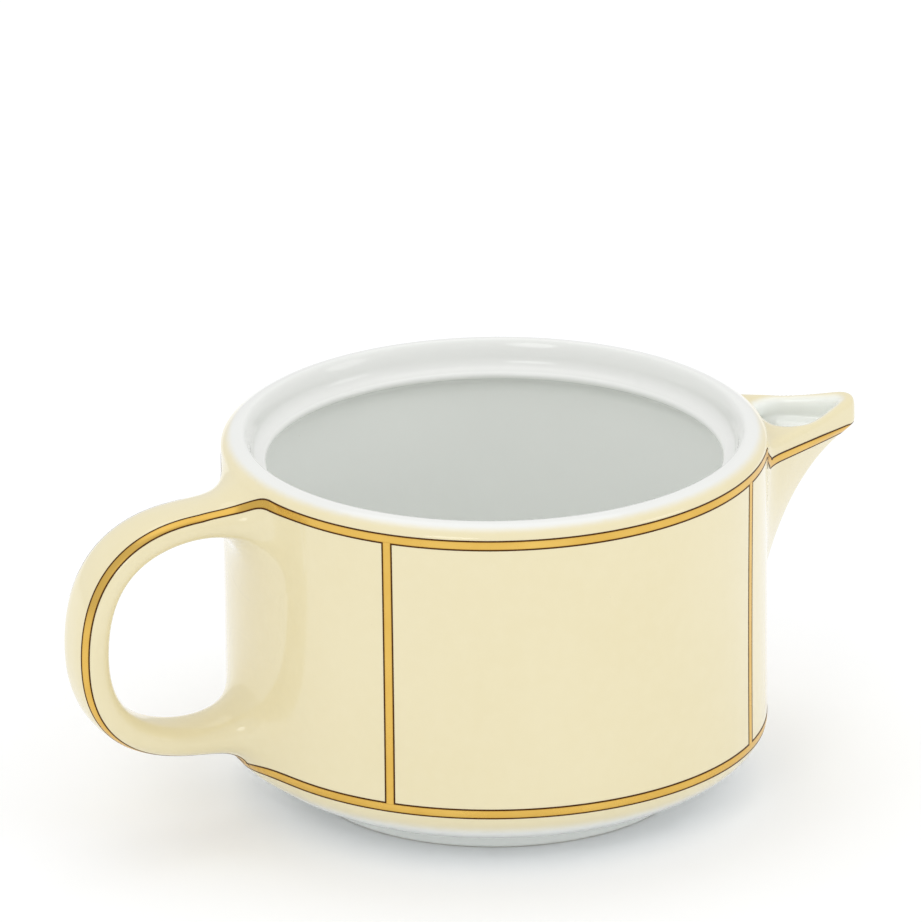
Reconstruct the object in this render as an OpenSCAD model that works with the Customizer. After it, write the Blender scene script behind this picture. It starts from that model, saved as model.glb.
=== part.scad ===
// Porcelain cream jug: a low drum-shaped pot with a lid ledge, an open-topped beak and a
// loop handle, decorated with gilt lines that are edged in dark brown.
// The origin is the jug's axis on the table. +Z is up, the beak points along +X and the
// handle along -X.

/* [Body] */
// Outer diameter at the rim band
body_d = 93; // [80:0.5:112]
// Height of the rim's crest above the table
body_h = 63.8; // [53:0.2:77]
// Thickness of the side wall
wall = 3.5; // [2.8:0.1:4.5]
// Thickness of the floor
floor_t = 3.4; // [2.6:0.1:5]
// How much the drum narrows in radius below the rim band
waist = 0.45; // [0:0.05:1.5]
// Height at which the side turns in towards the foot
shoulder_z = 12.1; // [10:0.1:14]
// How far below that height the side keeps heading straight down
shoulder_drop = 5.2; // [3:0.1:7]

/* [Foot ring] */
// Outer diameter of the foot ring
foot_d = 64.4; // [56:0.2:70]
// Height of the foot ring
foot_h = 2.6; // [1.6:0.1:3.6]
// Width of the foot ring, measured along the radius
foot_w = 3.2; // [2.2:0.1:5]
// Rounding of the foot ring's edges
foot_round = 0.8; // [0.3:0.1:1]

/* [Rim and lid ledge] */
// Radius lost from the outer side to the rim's crest
rim_bevel = 3.5; // [2.5:0.1:4.5]
// Height of the rounded edge above the rim band
rim_round_h = 2.2; // [1.6:0.1:3]
// Diameter of the clear opening inside the lid ledge
mouth_d = 77.6; // [66:0.2:79]
// Depth of the lid ledge's inner edge below the crest
ledge_depth = 5.4; // [4.4:0.1:7]
// Radius of the ledge's rounded inner edge
ledge_nose_r = 0.7; // [0.5:0.05:1]
// Height of the sloping underside of the ledge
ledge_under_h = 3.4; // [2:0.1:5]

/* [Beak] */
// Reach of the beak's tip beyond the body's side
beak_reach = 20; // [15:0.1:25]
// Depth of the beak's crest below the rim's crest
beak_drop = 5.6; // [4.5:0.1:8]
// Rise of the crest from its middle to the tip
beak_rise = 1.4; // [0:0.1:2]
// Height of the point where the keel leaves the body
beak_foot_z = 14.4; // [13.5:0.1:24]
// Half angle around the axis that the beak's root covers at its crest
beak_root_angle = 20; // [15:0.5:26]
// Half angle that the root covers at its lower end
beak_foot_angle = 6; // [4:0.5:10]
// Radius of the tip seen from above
beak_nose_r = 3.5; // [2.5:0.1:4.5]
// Growth of the keel's radius half way down
beak_belly = 2.2; // [0:0.1:3]
// Rounding of the beak's crest
beak_round = 0.9; // [0.4:0.1:1.2]
// Thickness of the beak's wall
beak_wall = 2.9; // [2.2:0.1:3.6]
// Thickness of the lip at the tip
lip_t = 2.2; // [1.8:0.1:3]
// Thickness of the web that closes the beak's root above the channel
web_t = 3.4; // [2.4:0.1:4.5]
// Gap between the body's side and the near end of the leaf-shaped mouth
leaf_gap = 4.2; // [3:0.1:6]
// Half width of the leaf-shaped mouth where it is widest
leaf_r = 5.9; // [4.5:0.1:7]
// Width of the pouring port through the body's side
port_w = 8; // [6:0.5:10]
// Height of the port's lower end
port_z = 30; // [24:0.5:33]
// Depth of the port's upper end below the rim's crest
port_drop = 11.3; // [10.5:0.1:16]

/* [Handle] */
// Reach of the handle's centre line beyond the body's side
handle_reach = 28.9; // [24:0.1:36]
// Depth of the upper arm's centre line below the rim's crest
handle_drop = 7.4; // [6.8:0.1:12]
// Height of the lower arm's centre line
handle_low_z = 17.5; // [17.5:0.1:24]
// Height at which the handle is farthest out
handle_turn_z = 35.7; // [30:0.1:38]
// Breadth of the upper arm
handle_w_top = 12.4; // [9:0.1:15]
// Breadth of the lower arm
handle_w_low = 10.4; // [7:0.1:13]
// Thickness of the arms
handle_t = 4.8; // [3.6:0.1:6]
// Thickness at the outermost point
handle_t_turn = 6; // [4.5:0.1:7.5]
// Growth of the section where it meets the body, on each side
handle_flare = 1.5; // [0.5:0.1:2]
// Length over which the section grows
handle_flare_l = 6.5; // [3:0.1:9]

/* [Decoration] */
// Width of each gilt line with both of its dark edges
line_w = 1.9; // [1.2:0.05:2.6]
// Width of each dark edge
key_w = 0.25; // [0.15:0.01:0.4]
// Thickness of the gilding and its edges
gilt_t = 0.12; // [0.08:0.01:0.2]
// Height of the foot band's upper edge
foot_band_z = 12.6; // [11.5:0.1:14]
// Angle from the beak to the nearest upright line on either side
panel_angle = 43.7; // [36:0.5:60]
// Depth of the beak's level line below the crest's lowest part
beak_line_drop = 2.1; // [1.5:0.1:2.6]
// Place of the handle's lines around its section, from the side at 90 to the back at 180
handle_line_at = 138; // [120:1:150]

/* [Slip joints] */
// Thickness of the slip that holds the beak and the handle to the body
slip_t = 0.3; // [0.2:0.05:0.5]

/* [Hidden] */
$fn = 96;

PORCELAIN = [0.93, 0.90, 0.77];
WHITE = [0.95, 0.95, 0.93];
GOLD = [0.83, 0.64, 0.23];
BROWN = [0.29, 0.15, 0.02];
FAR = 400;

// Body radii and heights
body_r = body_d / 2;
waist_r = body_r - waist;
rim_z = body_h - rim_round_h;
crest_r = body_r - rim_bevel;
inner_r = waist_r - wall;
mouth_r = mouth_d / 2;
foot_r = foot_d / 2;
inner_floor_z = foot_h + floor_t;
nose_z = body_h - ledge_depth;
under_z = nose_z - ledge_nose_r - ledge_under_h;
curve_n = 10;

// How far the roots' shapes run into the wall before they are cut to its side
root_in = 3;

// Beak
tip_x = body_r + beak_reach;
crest_z = body_h - beak_drop;
keel_n = 16;
nose_n = 7;
flank_n = 5;

port_top_z = body_h - port_drop;

// Handle: the straight length of each arm beyond the side, and how hard each bend pulls out
turn_x = body_r + handle_reach;
handle_top_z = body_h - handle_drop;
upper_arm_l = 4.5;
lower_arm_l = 5.5;
bend_start_l = 4;
upper_pull = 1.106;
lower_pull = 1.07;
arm_share = 0.1;
handle_rings = 22;
handle_sides = 24;
handle_power = 2 / 2.5;

// A point on a cubic curve with the four control points p
function curve_at(p, t) =
    pow(1 - t, 3) * p[0] + 3 * pow(1 - t, 2) * t * p[1]
    + 3 * (1 - t) * t * t * p[2] + pow(t, 3) * p[3];

// n + 1 points along a cubic curve
function curve(p, n) = [for (i = [0:n]) curve_at(p, i / n)];

// n + 1 points on an arc about c from angle a to angle b
function arc(c, r, a, b, n) = [
    for (i = [0:n]) let (t = a + (b - a) * i / n) c + r * [cos(t), sin(t)]
];

// The outer side from the foot to the crest, as [radius, height] points
shoulder = curve([
    [foot_r + 0.7, foot_h],
    [foot_r + 3.5, foot_h],
    [waist_r, shoulder_z - shoulder_drop],
    [waist_r, shoulder_z],
], 2 * curve_n);
side_rise = [for (i = [1:curve_n])
    let (t = i / curve_n) [waist_r + waist * pow(t, 2), shoulder_z + (rim_z - shoulder_z) * t]];
rim_outside = curve([
    [body_r, rim_z],
    [body_r, rim_z + rim_round_h * 0.32],
    [crest_r + rim_bevel * 0.5, body_h],
    [crest_r, body_h],
], curve_n);
side = concat(shoulder, side_rise, [for (i = [1:curve_n]) rim_outside[i]]);
side_table = [for (p = side) [p[1], p[0]]];

// Radius of the outer side at height z
function side_r(z) = lookup(z, side_table);

// The outer side's points between two heights, pushed out by off
function side_between(z1, z2, off) = concat(
    [[side_r(z1) + off, z1]],
    [for (p = side) if (p[1] > z1 + 0.01 && p[1] < z2 - 0.01) [p[0] + off, p[1]]],
    [[side_r(z2) + off, z2]]
);

// Inside of the rim, from the crest down to the ledge and round its nose to the wall
rim_inside = curve([
    [crest_r, body_h],
    [crest_r - 0.8, body_h],
    [crest_r - 1.4, body_h - 1.8],
    [crest_r - 1.6, body_h - 3],
], curve_n);
ledge_top = curve([
    [crest_r - 1.6, body_h - 3],
    [crest_r - 1.9, body_h - 4.2],
    [crest_r - 2.6, nose_z + ledge_nose_r + 0.2],
    [mouth_r + ledge_nose_r, nose_z + ledge_nose_r],
], curve_n);
ledge_nose = arc([mouth_r + ledge_nose_r, nose_z], ledge_nose_r, 90, 270, 8);
ledge_under = curve([
    [mouth_r + ledge_nose_r, nose_z - ledge_nose_r],
    [mouth_r + ledge_nose_r + 1.6, nose_z - ledge_nose_r - 0.2],
    [inner_r, under_z + 1.6],
    [inner_r, under_z],
], curve_n);

// Inside of the pot from the wall round to the floor
inner_corner = curve([
    [inner_r, shoulder_z + 1],
    [inner_r, shoulder_z - shoulder_drop + 1.6],
    [foot_r + 2.5, inner_floor_z],
    [foot_r - 3, inner_floor_z],
], curve_n);

foot_outside = arc([foot_r - foot_round, foot_round], foot_round, -90, 0, 5);
foot_inside = arc([foot_r - foot_w + foot_round, foot_round], foot_round, 180, 270, 5);
recess_r = foot_r - foot_w - 0.6;

// The whole half section of the pot
module body_section() {
    polygon(concat(
        [[0, foot_h], [recess_r, foot_h]],
        foot_inside,
        foot_outside,
        [[foot_r, foot_h - 0.6]],
        side,
        [for (i = [1:curve_n]) rim_inside[i]],
        [for (i = [1:curve_n]) ledge_top[i]],
        [for (i = [1:8]) ledge_nose[i]],
        [for (i = [1:curve_n]) ledge_under[i]],
        inner_corner,
        [[0, inner_floor_z]]
    ));
}

// A solid slug with the pot's outer side, pushed out by off, to cut saddles with
module side_slug(off) {
    rotate_extrude()
        polygon(concat([[0, foot_h]], [for (p = side) [p[0] + off, p[1]]], [[0, body_h]]));
}

// The skin of thickness slip_t that lies on the outer side
module slip_skin() {
    low = shoulder_z - 2;
    high = body_h - 0.3;
    rotate_extrude()
        polygon(concat(side_between(low, high, 0), reverse(side_between(low, high, slip_t))));
}

function reverse(v) = [for (i = [len(v) - 1:-1:0]) v[i]];

// A closed skin over rings of points, each ring with the same number of points
module skin(rings) {
    n = len(rings[0]);
    m = len(rings);
    points = [for (r = rings, p = r) p];
    sides = [for (i = [0:m - 2], j = [0:n - 1])
        let (k = (j + 1) % n)
        for (f = [[i * n + j, (i + 1) * n + j, i * n + k],
                  [i * n + k, (i + 1) * n + j, (i + 1) * n + k]]) f];
    first = [for (j = [0:n - 1]) j];
    last = [for (j = [n - 1:-1:0]) (m - 1) * n + j];
    polyhedron(points, concat(sides, [first, last]));
}

// The pouring port: an upright slot with round ends
module port() {
    r = port_w / 2;
    for (z = [port_z + r, port_top_z - r])
        translate([inner_r - 4, 0, z])
            rotate([0, 90, 0])
                cylinder(r = r, h = 12);
    translate([inner_r - 4, -r, port_z + r])
        cube([12, port_w, port_top_z - port_z - port_w]);
}

module jug_body() {
    color(WHITE)
        difference() {
            rotate_extrude() body_section();
            port();
        }
}

// Height of the beak's crest at distance x from the axis
function beak_crest(x) =
    crest_z + beak_rise * pow(max(0, x - body_r - 4) / (beak_reach - 4), 2);

// Keel point at t, from 0 at the beak's foot to 1 at its tip
function keel_at(t) = curve_at([
    [waist_r - 0.2, beak_foot_z],
    [waist_r + beak_reach * 0.17, beak_foot_z + (crest_z - beak_foot_z) * 0.47],
    [body_r + beak_reach * 0.36, crest_z - 8.7],
    [tip_x + 1.2, crest_z - 2.4],
], t);

// One level ring of the beak: the nose arc, and flanks that are straight back to the body's
// side and then run into its wall. inset moves the ring's sides in.
function beak_ring(x, z, t, inset) =
    let (
        r = beak_nose_r + beak_belly * sin(180 * t),
        c = min(x, tip_x) - r,
        root = beak_foot_angle + (beak_root_angle - beak_foot_angle) * pow(t, 0.7),
        side_at = (waist_r - 0.5) * [cos(root), sin(root)],
        tangent = atan2(side_at[1], c - side_at[0]) - asin(min(r / norm([c, 0] - side_at), 1)),
        lean = min(tangent, 65),
        normal = [sin(lean), cos(lean)],
        inner_c = c - 0.4 * t * max(inset, 0),
        start = side_at - inset * normal,
        end = [inner_c, 0] + max(r - inset, 0.4) * normal,
        flank = [for (i = [0:flank_n]) start + (end - start) * i / flank_n],
        nose = arc([inner_c, 0], max(r - inset, 0.4), lean - 90, 90 - lean, 2 * nose_n),
        half = concat([start * (1 - root_in / waist_r)], flank)
    )
    concat(
        [for (p = half) [p[0], -p[1], z]],
        [for (i = [1:2 * nose_n - 1]) [nose[i][0], nose[i][1], z]],
        [for (p = reverse(half)) [p[0], p[1], z]]
    );

// A ring at the beak's full width that lies drop below its crest
function crest_ring(drop, inset) = [
    for (p = beak_ring(tip_x, 0, 1, inset)) [p[0], p[1], beak_crest(p[0]) - drop]
];

// Beak rings from level t1 to level t2
function beak_rings(t1, t2, inset) = [
    for (i = [0:keel_n])
        let (t = t1 + (t2 - t1) * i / keel_n, k = keel_at(t))
        beak_ring(k[0], k[1], t, inset)
];

module beak_outside(grow = 0) {
    skin(concat(
        beak_rings(0, 1, -grow),
        [
            crest_ring(beak_round, -grow),
            crest_ring(beak_round * 0.3, beak_round * 0.3 - grow),
            crest_ring(0, beak_round - grow),
        ]
    ));
}

// The beak's hollow to the crest's height: its outside moved in by the wall's thickness
module beak_hollow() {
    skin(concat(beak_rings(0.3, 1, beak_wall), [crest_ring(-1, beak_wall)]));
}

// The channel inside the beak, from the port up to the underside of the web
module beak_channel() {
    intersection() {
        beak_hollow();
        translate([0, -FAR / 2, crest_z - web_t - FAR]) cube(FAR);
    }
}

// The leaf-shaped outline of the beak's mouth, from near the body to the tip
module leaf() {
    near_x = body_r + leaf_gap;
    point_r = 0.9;
    intersection() {
        hull() {
            translate([near_x + leaf_r - 1, 0]) circle(leaf_r, $fn = 48);
            translate([tip_x - lip_t - point_r, 0]) circle(point_r, $fn = 24);
        }
        translate([near_x, -FAR / 2]) square(FAR);
    }
}

// The mouth that opens the channel at the top, full width at the lip only
module beak_mouth() {
    lip_z = crest_z - beak_round - 0.4;
    deep_z = crest_z - web_t - 3;
    translate([0, 0, lip_z]) linear_extrude(height = FAR) leaf();
    intersection() {
        translate([0, 0, deep_z]) linear_extrude(height = FAR) leaf();
        beak_hollow();
    }
}

module beak() {
    color(PORCELAIN)
        difference() {
            beak_outside();
            side_slug(slip_t);
            beak_channel();
            beak_mouth();
        }
}

module slip_beak() {
    color(WHITE)
        difference() {
            intersection() {
                beak_outside();
                slip_skin();
            }
            beak_channel();
        }
}

// Centre line of the handle: u runs from 0 at the upper root to 1 at the lower root
upper_bend = [
    [-(body_r + upper_arm_l), handle_top_z],
    [-(body_r + upper_arm_l + bend_start_l), handle_top_z],
    [-turn_x, handle_turn_z + upper_pull * (handle_top_z - handle_turn_z)],
    [-turn_x, handle_turn_z],
];
lower_bend = [
    [-turn_x, handle_turn_z],
    [-turn_x, handle_turn_z - lower_pull * (handle_turn_z - handle_low_z)],
    [-(body_r + lower_arm_l + bend_start_l), handle_low_z],
    [-(body_r + lower_arm_l), handle_low_z],
];
function arm_at(share, length, z) =
    [-(body_r - root_in) - (length + root_in) * share / arm_share, z];
function centre_at(u) =
    u < arm_share ? arm_at(u, upper_arm_l, handle_top_z) :
    u < 0.5 ? curve_at(upper_bend, (u - arm_share) / (0.5 - arm_share)) :
    u < 1 - arm_share ? curve_at(lower_bend, (u - 0.5) / (0.5 - arm_share)) :
    arm_at(1 - u, lower_arm_l, handle_low_z);

// Direction that points away from the loop's middle at u
function outward_at(u) =
    let (
        a = centre_at(max(u - 0.004, 0)),
        b = centre_at(min(u + 0.004, 1)),
        d = (b - a) / norm(b - a)
    )
    [d[1], -d[0]];

// Growth of the section at u, a fillet that starts handle_flare_l away from the side
function flare_at(u) =
    let (d = min(max(-centre_at(u)[0] - body_r, 0), handle_flare_l) / handle_flare_l)
    handle_flare * (1 - sqrt(1 - pow(1 - d, 2)));

function breadth_at(u) = handle_w_top + (handle_w_low - handle_w_top) * u;
function thickness_at(u) =
    handle_t + (handle_t_turn - handle_t) * pow(sin(180 * u), 2);

function signed_power(v, e) = sign(v) * pow(abs(v), e);

// A point on the handle at u and section angle a, lifted by off
function handle_at(u, a, off) =
    let (
        c = centre_at(u),
        n = outward_at(u),
        grow = flare_at(u) + off,
        side_out = signed_power(cos(a), handle_power) * (breadth_at(u) / 2 + grow),
        back_out = signed_power(sin(a), handle_power) * (thickness_at(u) / 2 + grow)
    )
    [c[0] + n[0] * back_out, side_out, c[1] + n[1] * back_out];

// Places along the handle, closer together in the roots' flares
arm_steps = 5;
handle_u = concat(
    [for (i = [0:arm_steps]) arm_share * i / arm_steps],
    [for (i = [1:2 * handle_rings - 1])
        arm_share + (1 - 2 * arm_share) * i / (2 * handle_rings)],
    [for (i = [0:arm_steps]) 1 - arm_share + arm_share * i / arm_steps]
);

module handle_sweep() {
    skin([for (u = handle_u)
        [for (j = [handle_sides - 1:-1:0]) handle_at(u, 360 * j / handle_sides, 0)]]);
}

module handle() {
    color(PORCELAIN)
        difference() {
            handle_sweep();
            side_slug(slip_t);
        }
}

module slip_handle(z1, z2) {
    color(WHITE)
        intersection() {
            handle_sweep();
            slip_skin();
            translate([-FAR / 2, -FAR / 2, z1]) cube([FAR, FAR, z2 - z1]);
        }
}

module slip_handle_upper() {
    slip_handle(handle_turn_z, body_h);
}

module slip_handle_lower() {
    slip_handle(0, handle_turn_z);
}

// A thin band on the outer side between two heights, over an angle from a to b
module band(z1, z2, a, b) {
    rotate([0, 0, a])
        rotate_extrude(angle = b - a)
            polygon(concat(side_between(z1, z2, 0), reverse(side_between(z1, z2, gilt_t))));
}

rim_band_z = rim_z;
rim_band_low = rim_band_z - line_w;
foot_band_low = foot_band_z - line_w;
gold_w = line_w - 2 * key_w;
handle_half_angle = asin((handle_w_top / 2 + handle_flare) / body_r) + 0.6;
beak_half_angle = beak_root_angle + 1.2;

module gilt_rim_band(a, b) {
    color(GOLD) band(rim_band_low + key_w, rim_band_z - key_w, a, b);
}

module gilt_rim_band_front() {
    gilt_rim_band(180 + handle_half_angle, 360 - beak_half_angle);
}

module gilt_rim_band_back() {
    gilt_rim_band(beak_half_angle, 180 - handle_half_angle);
}

module gilt_foot_band() {
    color(GOLD) band(foot_band_low + key_w, foot_band_z - key_w, 0, 360);
}

module edges_rim_band() {
    color(BROWN)
        for (z = [rim_band_low, rim_band_z - key_w],
             s = [[180 + handle_half_angle, 360 - beak_half_angle],
                  [beak_half_angle, 180 - handle_half_angle]])
            band(z, z + key_w, s[0], s[1]);
}

module edges_foot_band() {
    color(BROWN)
        for (z = [foot_band_low, foot_band_z - key_w])
            band(z, z + key_w, 0, 360);
}

// An upright line of width w whose middle is moved sideways by shift
module upright(angle, w, shift) {
    half = w / 2 / waist_r * 180 / PI;
    at = angle + shift / waist_r * 180 / PI;
    band(foot_band_z, rim_band_low, at - half, at + half);
}

module gilt_panel(angle) {
    color(GOLD) upright(angle, gold_w, 0);
}

module gilt_panel_front_left() {
    gilt_panel(180 + panel_angle);
}

module gilt_panel_front_right() {
    gilt_panel(360 - panel_angle);
}

module gilt_panel_back_left() {
    gilt_panel(180 - panel_angle);
}

module gilt_panel_back_right() {
    gilt_panel(panel_angle);
}

module edges_panels() {
    color(BROWN)
        for (angle = [panel_angle, 180 - panel_angle, 180 + panel_angle, 360 - panel_angle],
             s = [-1, 1])
            upright(angle, key_w, s * (gold_w + key_w) / 2);
}

// A strip along the handle between two distances from the line's middle, front at s = -1
module handle_strip(s, from, to) {
    reach = [for (u = handle_u) if (-centre_at(u)[0] > body_r + slip_t + 0.1) u];
    skin([for (u = reach)
        let (
            size = (breadth_at(u) + thickness_at(u)) / 4,
            a1 = handle_line_at + from / size * 180 / PI,
            a2 = handle_line_at + to / size * 180 / PI,
            corners = [for (q = [[a1, 0], [a2, 0], [a2, gilt_t], [a1, gilt_t]])
                let (p = handle_at(u, q[0], q[1])) [p[0], -s * p[1], p[2]]]
        )
        s < 0 ? reverse(corners) : corners]);
}

module gilt_handle(s) {
    color(GOLD) handle_strip(s, -gold_w / 2, gold_w / 2);
}

module gilt_handle_front() {
    gilt_handle(1);
}

module gilt_handle_back() {
    gilt_handle(-1);
}

module edges_handle() {
    color(BROWN)
        for (s = [-1, 1], side_of = [-1, 1])
            handle_strip(s,
                side_of * line_w / 2 - (side_of > 0 ? key_w : 0),
                side_of * line_w / 2 + (side_of < 0 ? key_w : 0));
}

// A level strip round the beak between two depths below its crest's lowest part
module beak_strip(from, to) {
    difference() {
        intersection() {
            beak_outside(gilt_t);
            translate([body_r - 4, -FAR / 2, crest_z - to]) cube([FAR, FAR, to - from]);
        }
        beak_outside();
        side_slug(slip_t + 0.1);
    }
}

module gilt_beak() {
    color(GOLD) beak_strip(beak_line_drop + key_w, beak_line_drop + line_w - key_w);
}

module edges_beak() {
    color(BROWN) {
        beak_strip(beak_line_drop, beak_line_drop + key_w);
        beak_strip(beak_line_drop + line_w - key_w, beak_line_drop + line_w);
    }
}

jug_body();
beak();
handle();
slip_beak();
slip_handle_upper();
slip_handle_lower();
gilt_rim_band_front();
gilt_rim_band_back();
gilt_foot_band();
gilt_panel_front_left();
gilt_panel_front_right();
gilt_panel_back_left();
gilt_panel_back_right();
gilt_handle_front();
gilt_handle_back();
gilt_beak();
edges_rim_band();
edges_foot_band();
edges_panels();
edges_handle();
edges_beak();
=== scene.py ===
"""Porcelain cream jug: the glazed porcelain and its gilding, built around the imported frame.

Lengths inside the shape classes are millimetres in the frame's own axes: the origin is the
jug's axis on the table, +Z is up, the beak points along +X and the handle along -X.
"""
import logging
import math
from dataclasses import dataclass, field
from enum import Enum
from typing import Callable

import bpy
import numpy as np
from mathutils import Matrix, Vector


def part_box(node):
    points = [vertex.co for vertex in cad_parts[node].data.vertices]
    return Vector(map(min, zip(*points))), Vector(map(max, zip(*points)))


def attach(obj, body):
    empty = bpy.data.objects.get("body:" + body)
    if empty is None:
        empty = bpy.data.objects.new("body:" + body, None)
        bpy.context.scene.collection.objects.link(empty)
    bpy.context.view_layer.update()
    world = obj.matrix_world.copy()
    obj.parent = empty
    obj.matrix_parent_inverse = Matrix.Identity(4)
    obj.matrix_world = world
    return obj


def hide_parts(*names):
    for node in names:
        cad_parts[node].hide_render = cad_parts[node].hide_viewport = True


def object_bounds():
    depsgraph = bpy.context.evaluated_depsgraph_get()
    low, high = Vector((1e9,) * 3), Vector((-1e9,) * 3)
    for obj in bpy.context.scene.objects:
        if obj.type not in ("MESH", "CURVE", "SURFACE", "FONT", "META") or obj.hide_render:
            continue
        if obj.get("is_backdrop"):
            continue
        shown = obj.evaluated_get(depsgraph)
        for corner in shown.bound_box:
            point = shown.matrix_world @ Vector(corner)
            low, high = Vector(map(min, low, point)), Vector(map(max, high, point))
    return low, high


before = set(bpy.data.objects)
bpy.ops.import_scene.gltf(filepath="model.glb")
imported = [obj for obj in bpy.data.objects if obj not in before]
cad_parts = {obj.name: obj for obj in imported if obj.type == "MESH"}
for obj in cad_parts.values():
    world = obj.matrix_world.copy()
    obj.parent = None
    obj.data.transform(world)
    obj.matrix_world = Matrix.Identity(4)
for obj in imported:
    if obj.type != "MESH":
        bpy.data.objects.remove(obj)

Array = np.ndarray
Distance = Callable[[Array], Array]
MM = 0.001
BODY = "root"
# How many points are worked out at a time, so that the arrays stay small.
NET_BATCH = 60000
OUTLINE_BATCH = 8000
CENTRE_LINE_BATCH = 20000
# How many points lie across the guide strip of a gold line and of a keyline.
GOLD_COLUMNS = 7
KEY_COLUMNS = 3
log = logging.getLogger("cream_jug")


class Side(Enum):
    """Which long side of the jug a piece lies on."""

    FRONT = -1
    BACK = 1


class Slot(Enum):
    """The record's material slots."""

    WHITE = "white_glaze"
    CREAM = "cream_glaze"
    GOLD = "gilding"
    BROWN = "brown_enamel"


# ---------------------------------------------------------------- curves and fields


def curve(points: list, count: int) -> Array:
    """Samples a cubic curve.

    Args:
        points: The four control points, in the plane or in space.
        count: How many points come back, both ends included.

    Returns:
        The points along the curve, one per row.
    """
    p = np.array(points, float)
    t = np.linspace(0, 1, count)[:, None]
    s = 1 - t
    return s**3 * p[0] + 3 * s * s * t * p[1] + 3 * s * t * t * p[2] + t**3 * p[3]


def arc(centre: tuple[float, float], radius: float, start: float, end: float,
        count: int) -> Array:
    """Samples an arc.

    Args:
        centre: The arc's centre.
        radius: Its radius.
        start: The first angle in degrees.
        end: The last angle in degrees.
        count: How many points come back.

    Returns:
        The points along the arc, one per row.
    """
    a = np.radians(np.linspace(start, end, count))
    return np.array(centre) + radius * np.stack([np.cos(a), np.sin(a)], 1)


def smooth_min(a: Array, b: Array, k: float | Array) -> Array:
    """Joins two distances with a fillet.

    Args:
        a: One distance.
        b: The other distance.
        k: The fillet's size.

    Returns:
        The distance to the joined shape.
    """
    h = np.maximum(k - np.abs(a - b), 0) / k
    return np.minimum(a, b) - h**3 * k / 6


def smooth_max(a: Array, b: Array, k: float | Array) -> Array:
    """Cuts one shape by another with a rounded edge.

    Args:
        a: One distance.
        b: The other distance.
        k: The rounding's size.

    Returns:
        The distance to what both shapes share.
    """
    return -smooth_min(-a, -b, k)


def step_up(x: Array, low: float, high: float) -> Array:
    """Goes from 0 at low to 1 at high with no kink.

    Args:
        x: The values.
        low: Where the step starts.
        high: Where the step ends.

    Returns:
        The step's value at each x.
    """
    t = np.clip((x - low) / (high - low), 0, 1)
    return t * t * (3 - 2 * t)


def stepped(z: Array, sizes: tuple, spans: tuple) -> Array:
    """Goes smoothly through a row of sizes with height.

    Args:
        z: Heights.
        sizes: The sizes from the lowest up.
        spans: Lowest and highest height of each change from one size to the next.

    Returns:
        The size at each height.
    """
    out = sizes[0]
    for before, after, (low, high) in zip(sizes[:-1], sizes[1:], spans):
        out = out + (after - before) * step_up(z, low, high)
    return out


def lengths_along(path: Array) -> Array:
    """Length of a path from its first point to each of its points."""
    return np.concatenate([[0], np.cumsum(np.linalg.norm(np.diff(path, axis=0), axis=1))])


def slope_of(distance: Distance, points: Array, reach: float = 0.04) -> Array:
    """Measures a field's slope.

    Args:
        distance: The field.
        points: Where to measure it.
        reach: Half the spacing of the two samples along each axis.

    Returns:
        The slope at each point.
    """
    out = np.empty_like(points)
    for axis in range(3):
        move = np.zeros(3)
        move[axis] = reach
        out[:, axis] = (distance(points + move) - distance(points - move)) / (2 * reach)
    return out


def unit(vectors: Array) -> Array:
    """Scales each row to length one."""
    return vectors / np.maximum(np.linalg.norm(vectors, axis=1, keepdims=True), 1e-9)


def settle(distance: Distance, points: Array, turns: int) -> Array:
    """Moves points on to a field's zero surface.

    Args:
        distance: The field.
        points: Points near the surface.
        turns: How many Newton steps to take.

    Returns:
        The points on the surface.
    """
    least_slope, longest_move = 0.05, 1.0
    for _ in range(turns):
        slope = slope_of(distance, points)
        size = np.maximum((slope**2).sum(1), least_slope)
        move = np.clip(distance(points) / size, -longest_move, longest_move)
        points = points - slope * move[:, None]
    return points


@dataclass
class Sheet:
    """A table of distances over radius and height, read back with a smooth cubic fit."""

    values: Array
    low: tuple[float, float]
    pitch: float

    def at(self, rho: Array, z: Array) -> Array:
        """Reads the table.

        Args:
            rho: Radii.
            z: Heights.

        Returns:
            The distance at each point.
        """
        places = []
        # The clip keeps the four samples along each axis inside the table.
        for q, low, size in ((rho, self.low[0], self.values.shape[0]),
                             (z, self.low[1], self.values.shape[1])):
            x = np.clip((q - low) / self.pitch, 1.0, size - 2.001)
            i = x.astype(int)
            t = x - i
            weights = (((2 - t) * t - 1) * t / 2, ((3 * t - 5) * t * t + 2) / 2,
                       ((4 - 3 * t) * t + 1) * t / 2, (t - 1) * t * t / 2)
            places.append((i, weights))
        (i, wi), (j, wj) = places
        out = np.zeros(len(i))
        for a in range(4):
            row = np.zeros(len(i))
            for b in range(4):
                row += wj[b] * self.values[i + a - 1, j + b - 1]
            out += wi[a] * row
        return out


# ---------------------------------------------------------------- meshes


@dataclass
class Shell:
    """Points, faces and normals of one surface."""

    points: Array
    faces: list
    normals: Array | None = None

    def plus(self, other: "Shell") -> "Shell":
        """Puts another shell beside this one. Both have normals.

        Args:
            other: The other shell.

        Returns:
            Both shells as one.
        """
        shift = len(self.points)
        faces = [*self.faces, *[[i + shift for i in f] for f in other.faces]]
        return Shell(np.vstack([self.points, other.points]), faces,
                     np.vstack([self.normals, other.normals]))

    def mesh(self, name: str) -> bpy.types.Mesh:
        """Makes the Blender mesh in metres.

        Args:
            name: The mesh's name.

        Returns:
            The mesh, smooth all over.
        """
        data = bpy.data.meshes.new(name)
        data.from_pydata((self.points * MM).tolist(), [], self.faces)
        data.validate()
        data.shade_smooth()
        if self.normals is not None:
            data.normals_split_custom_set_from_vertices(self.normals.tolist())
        return data


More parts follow.
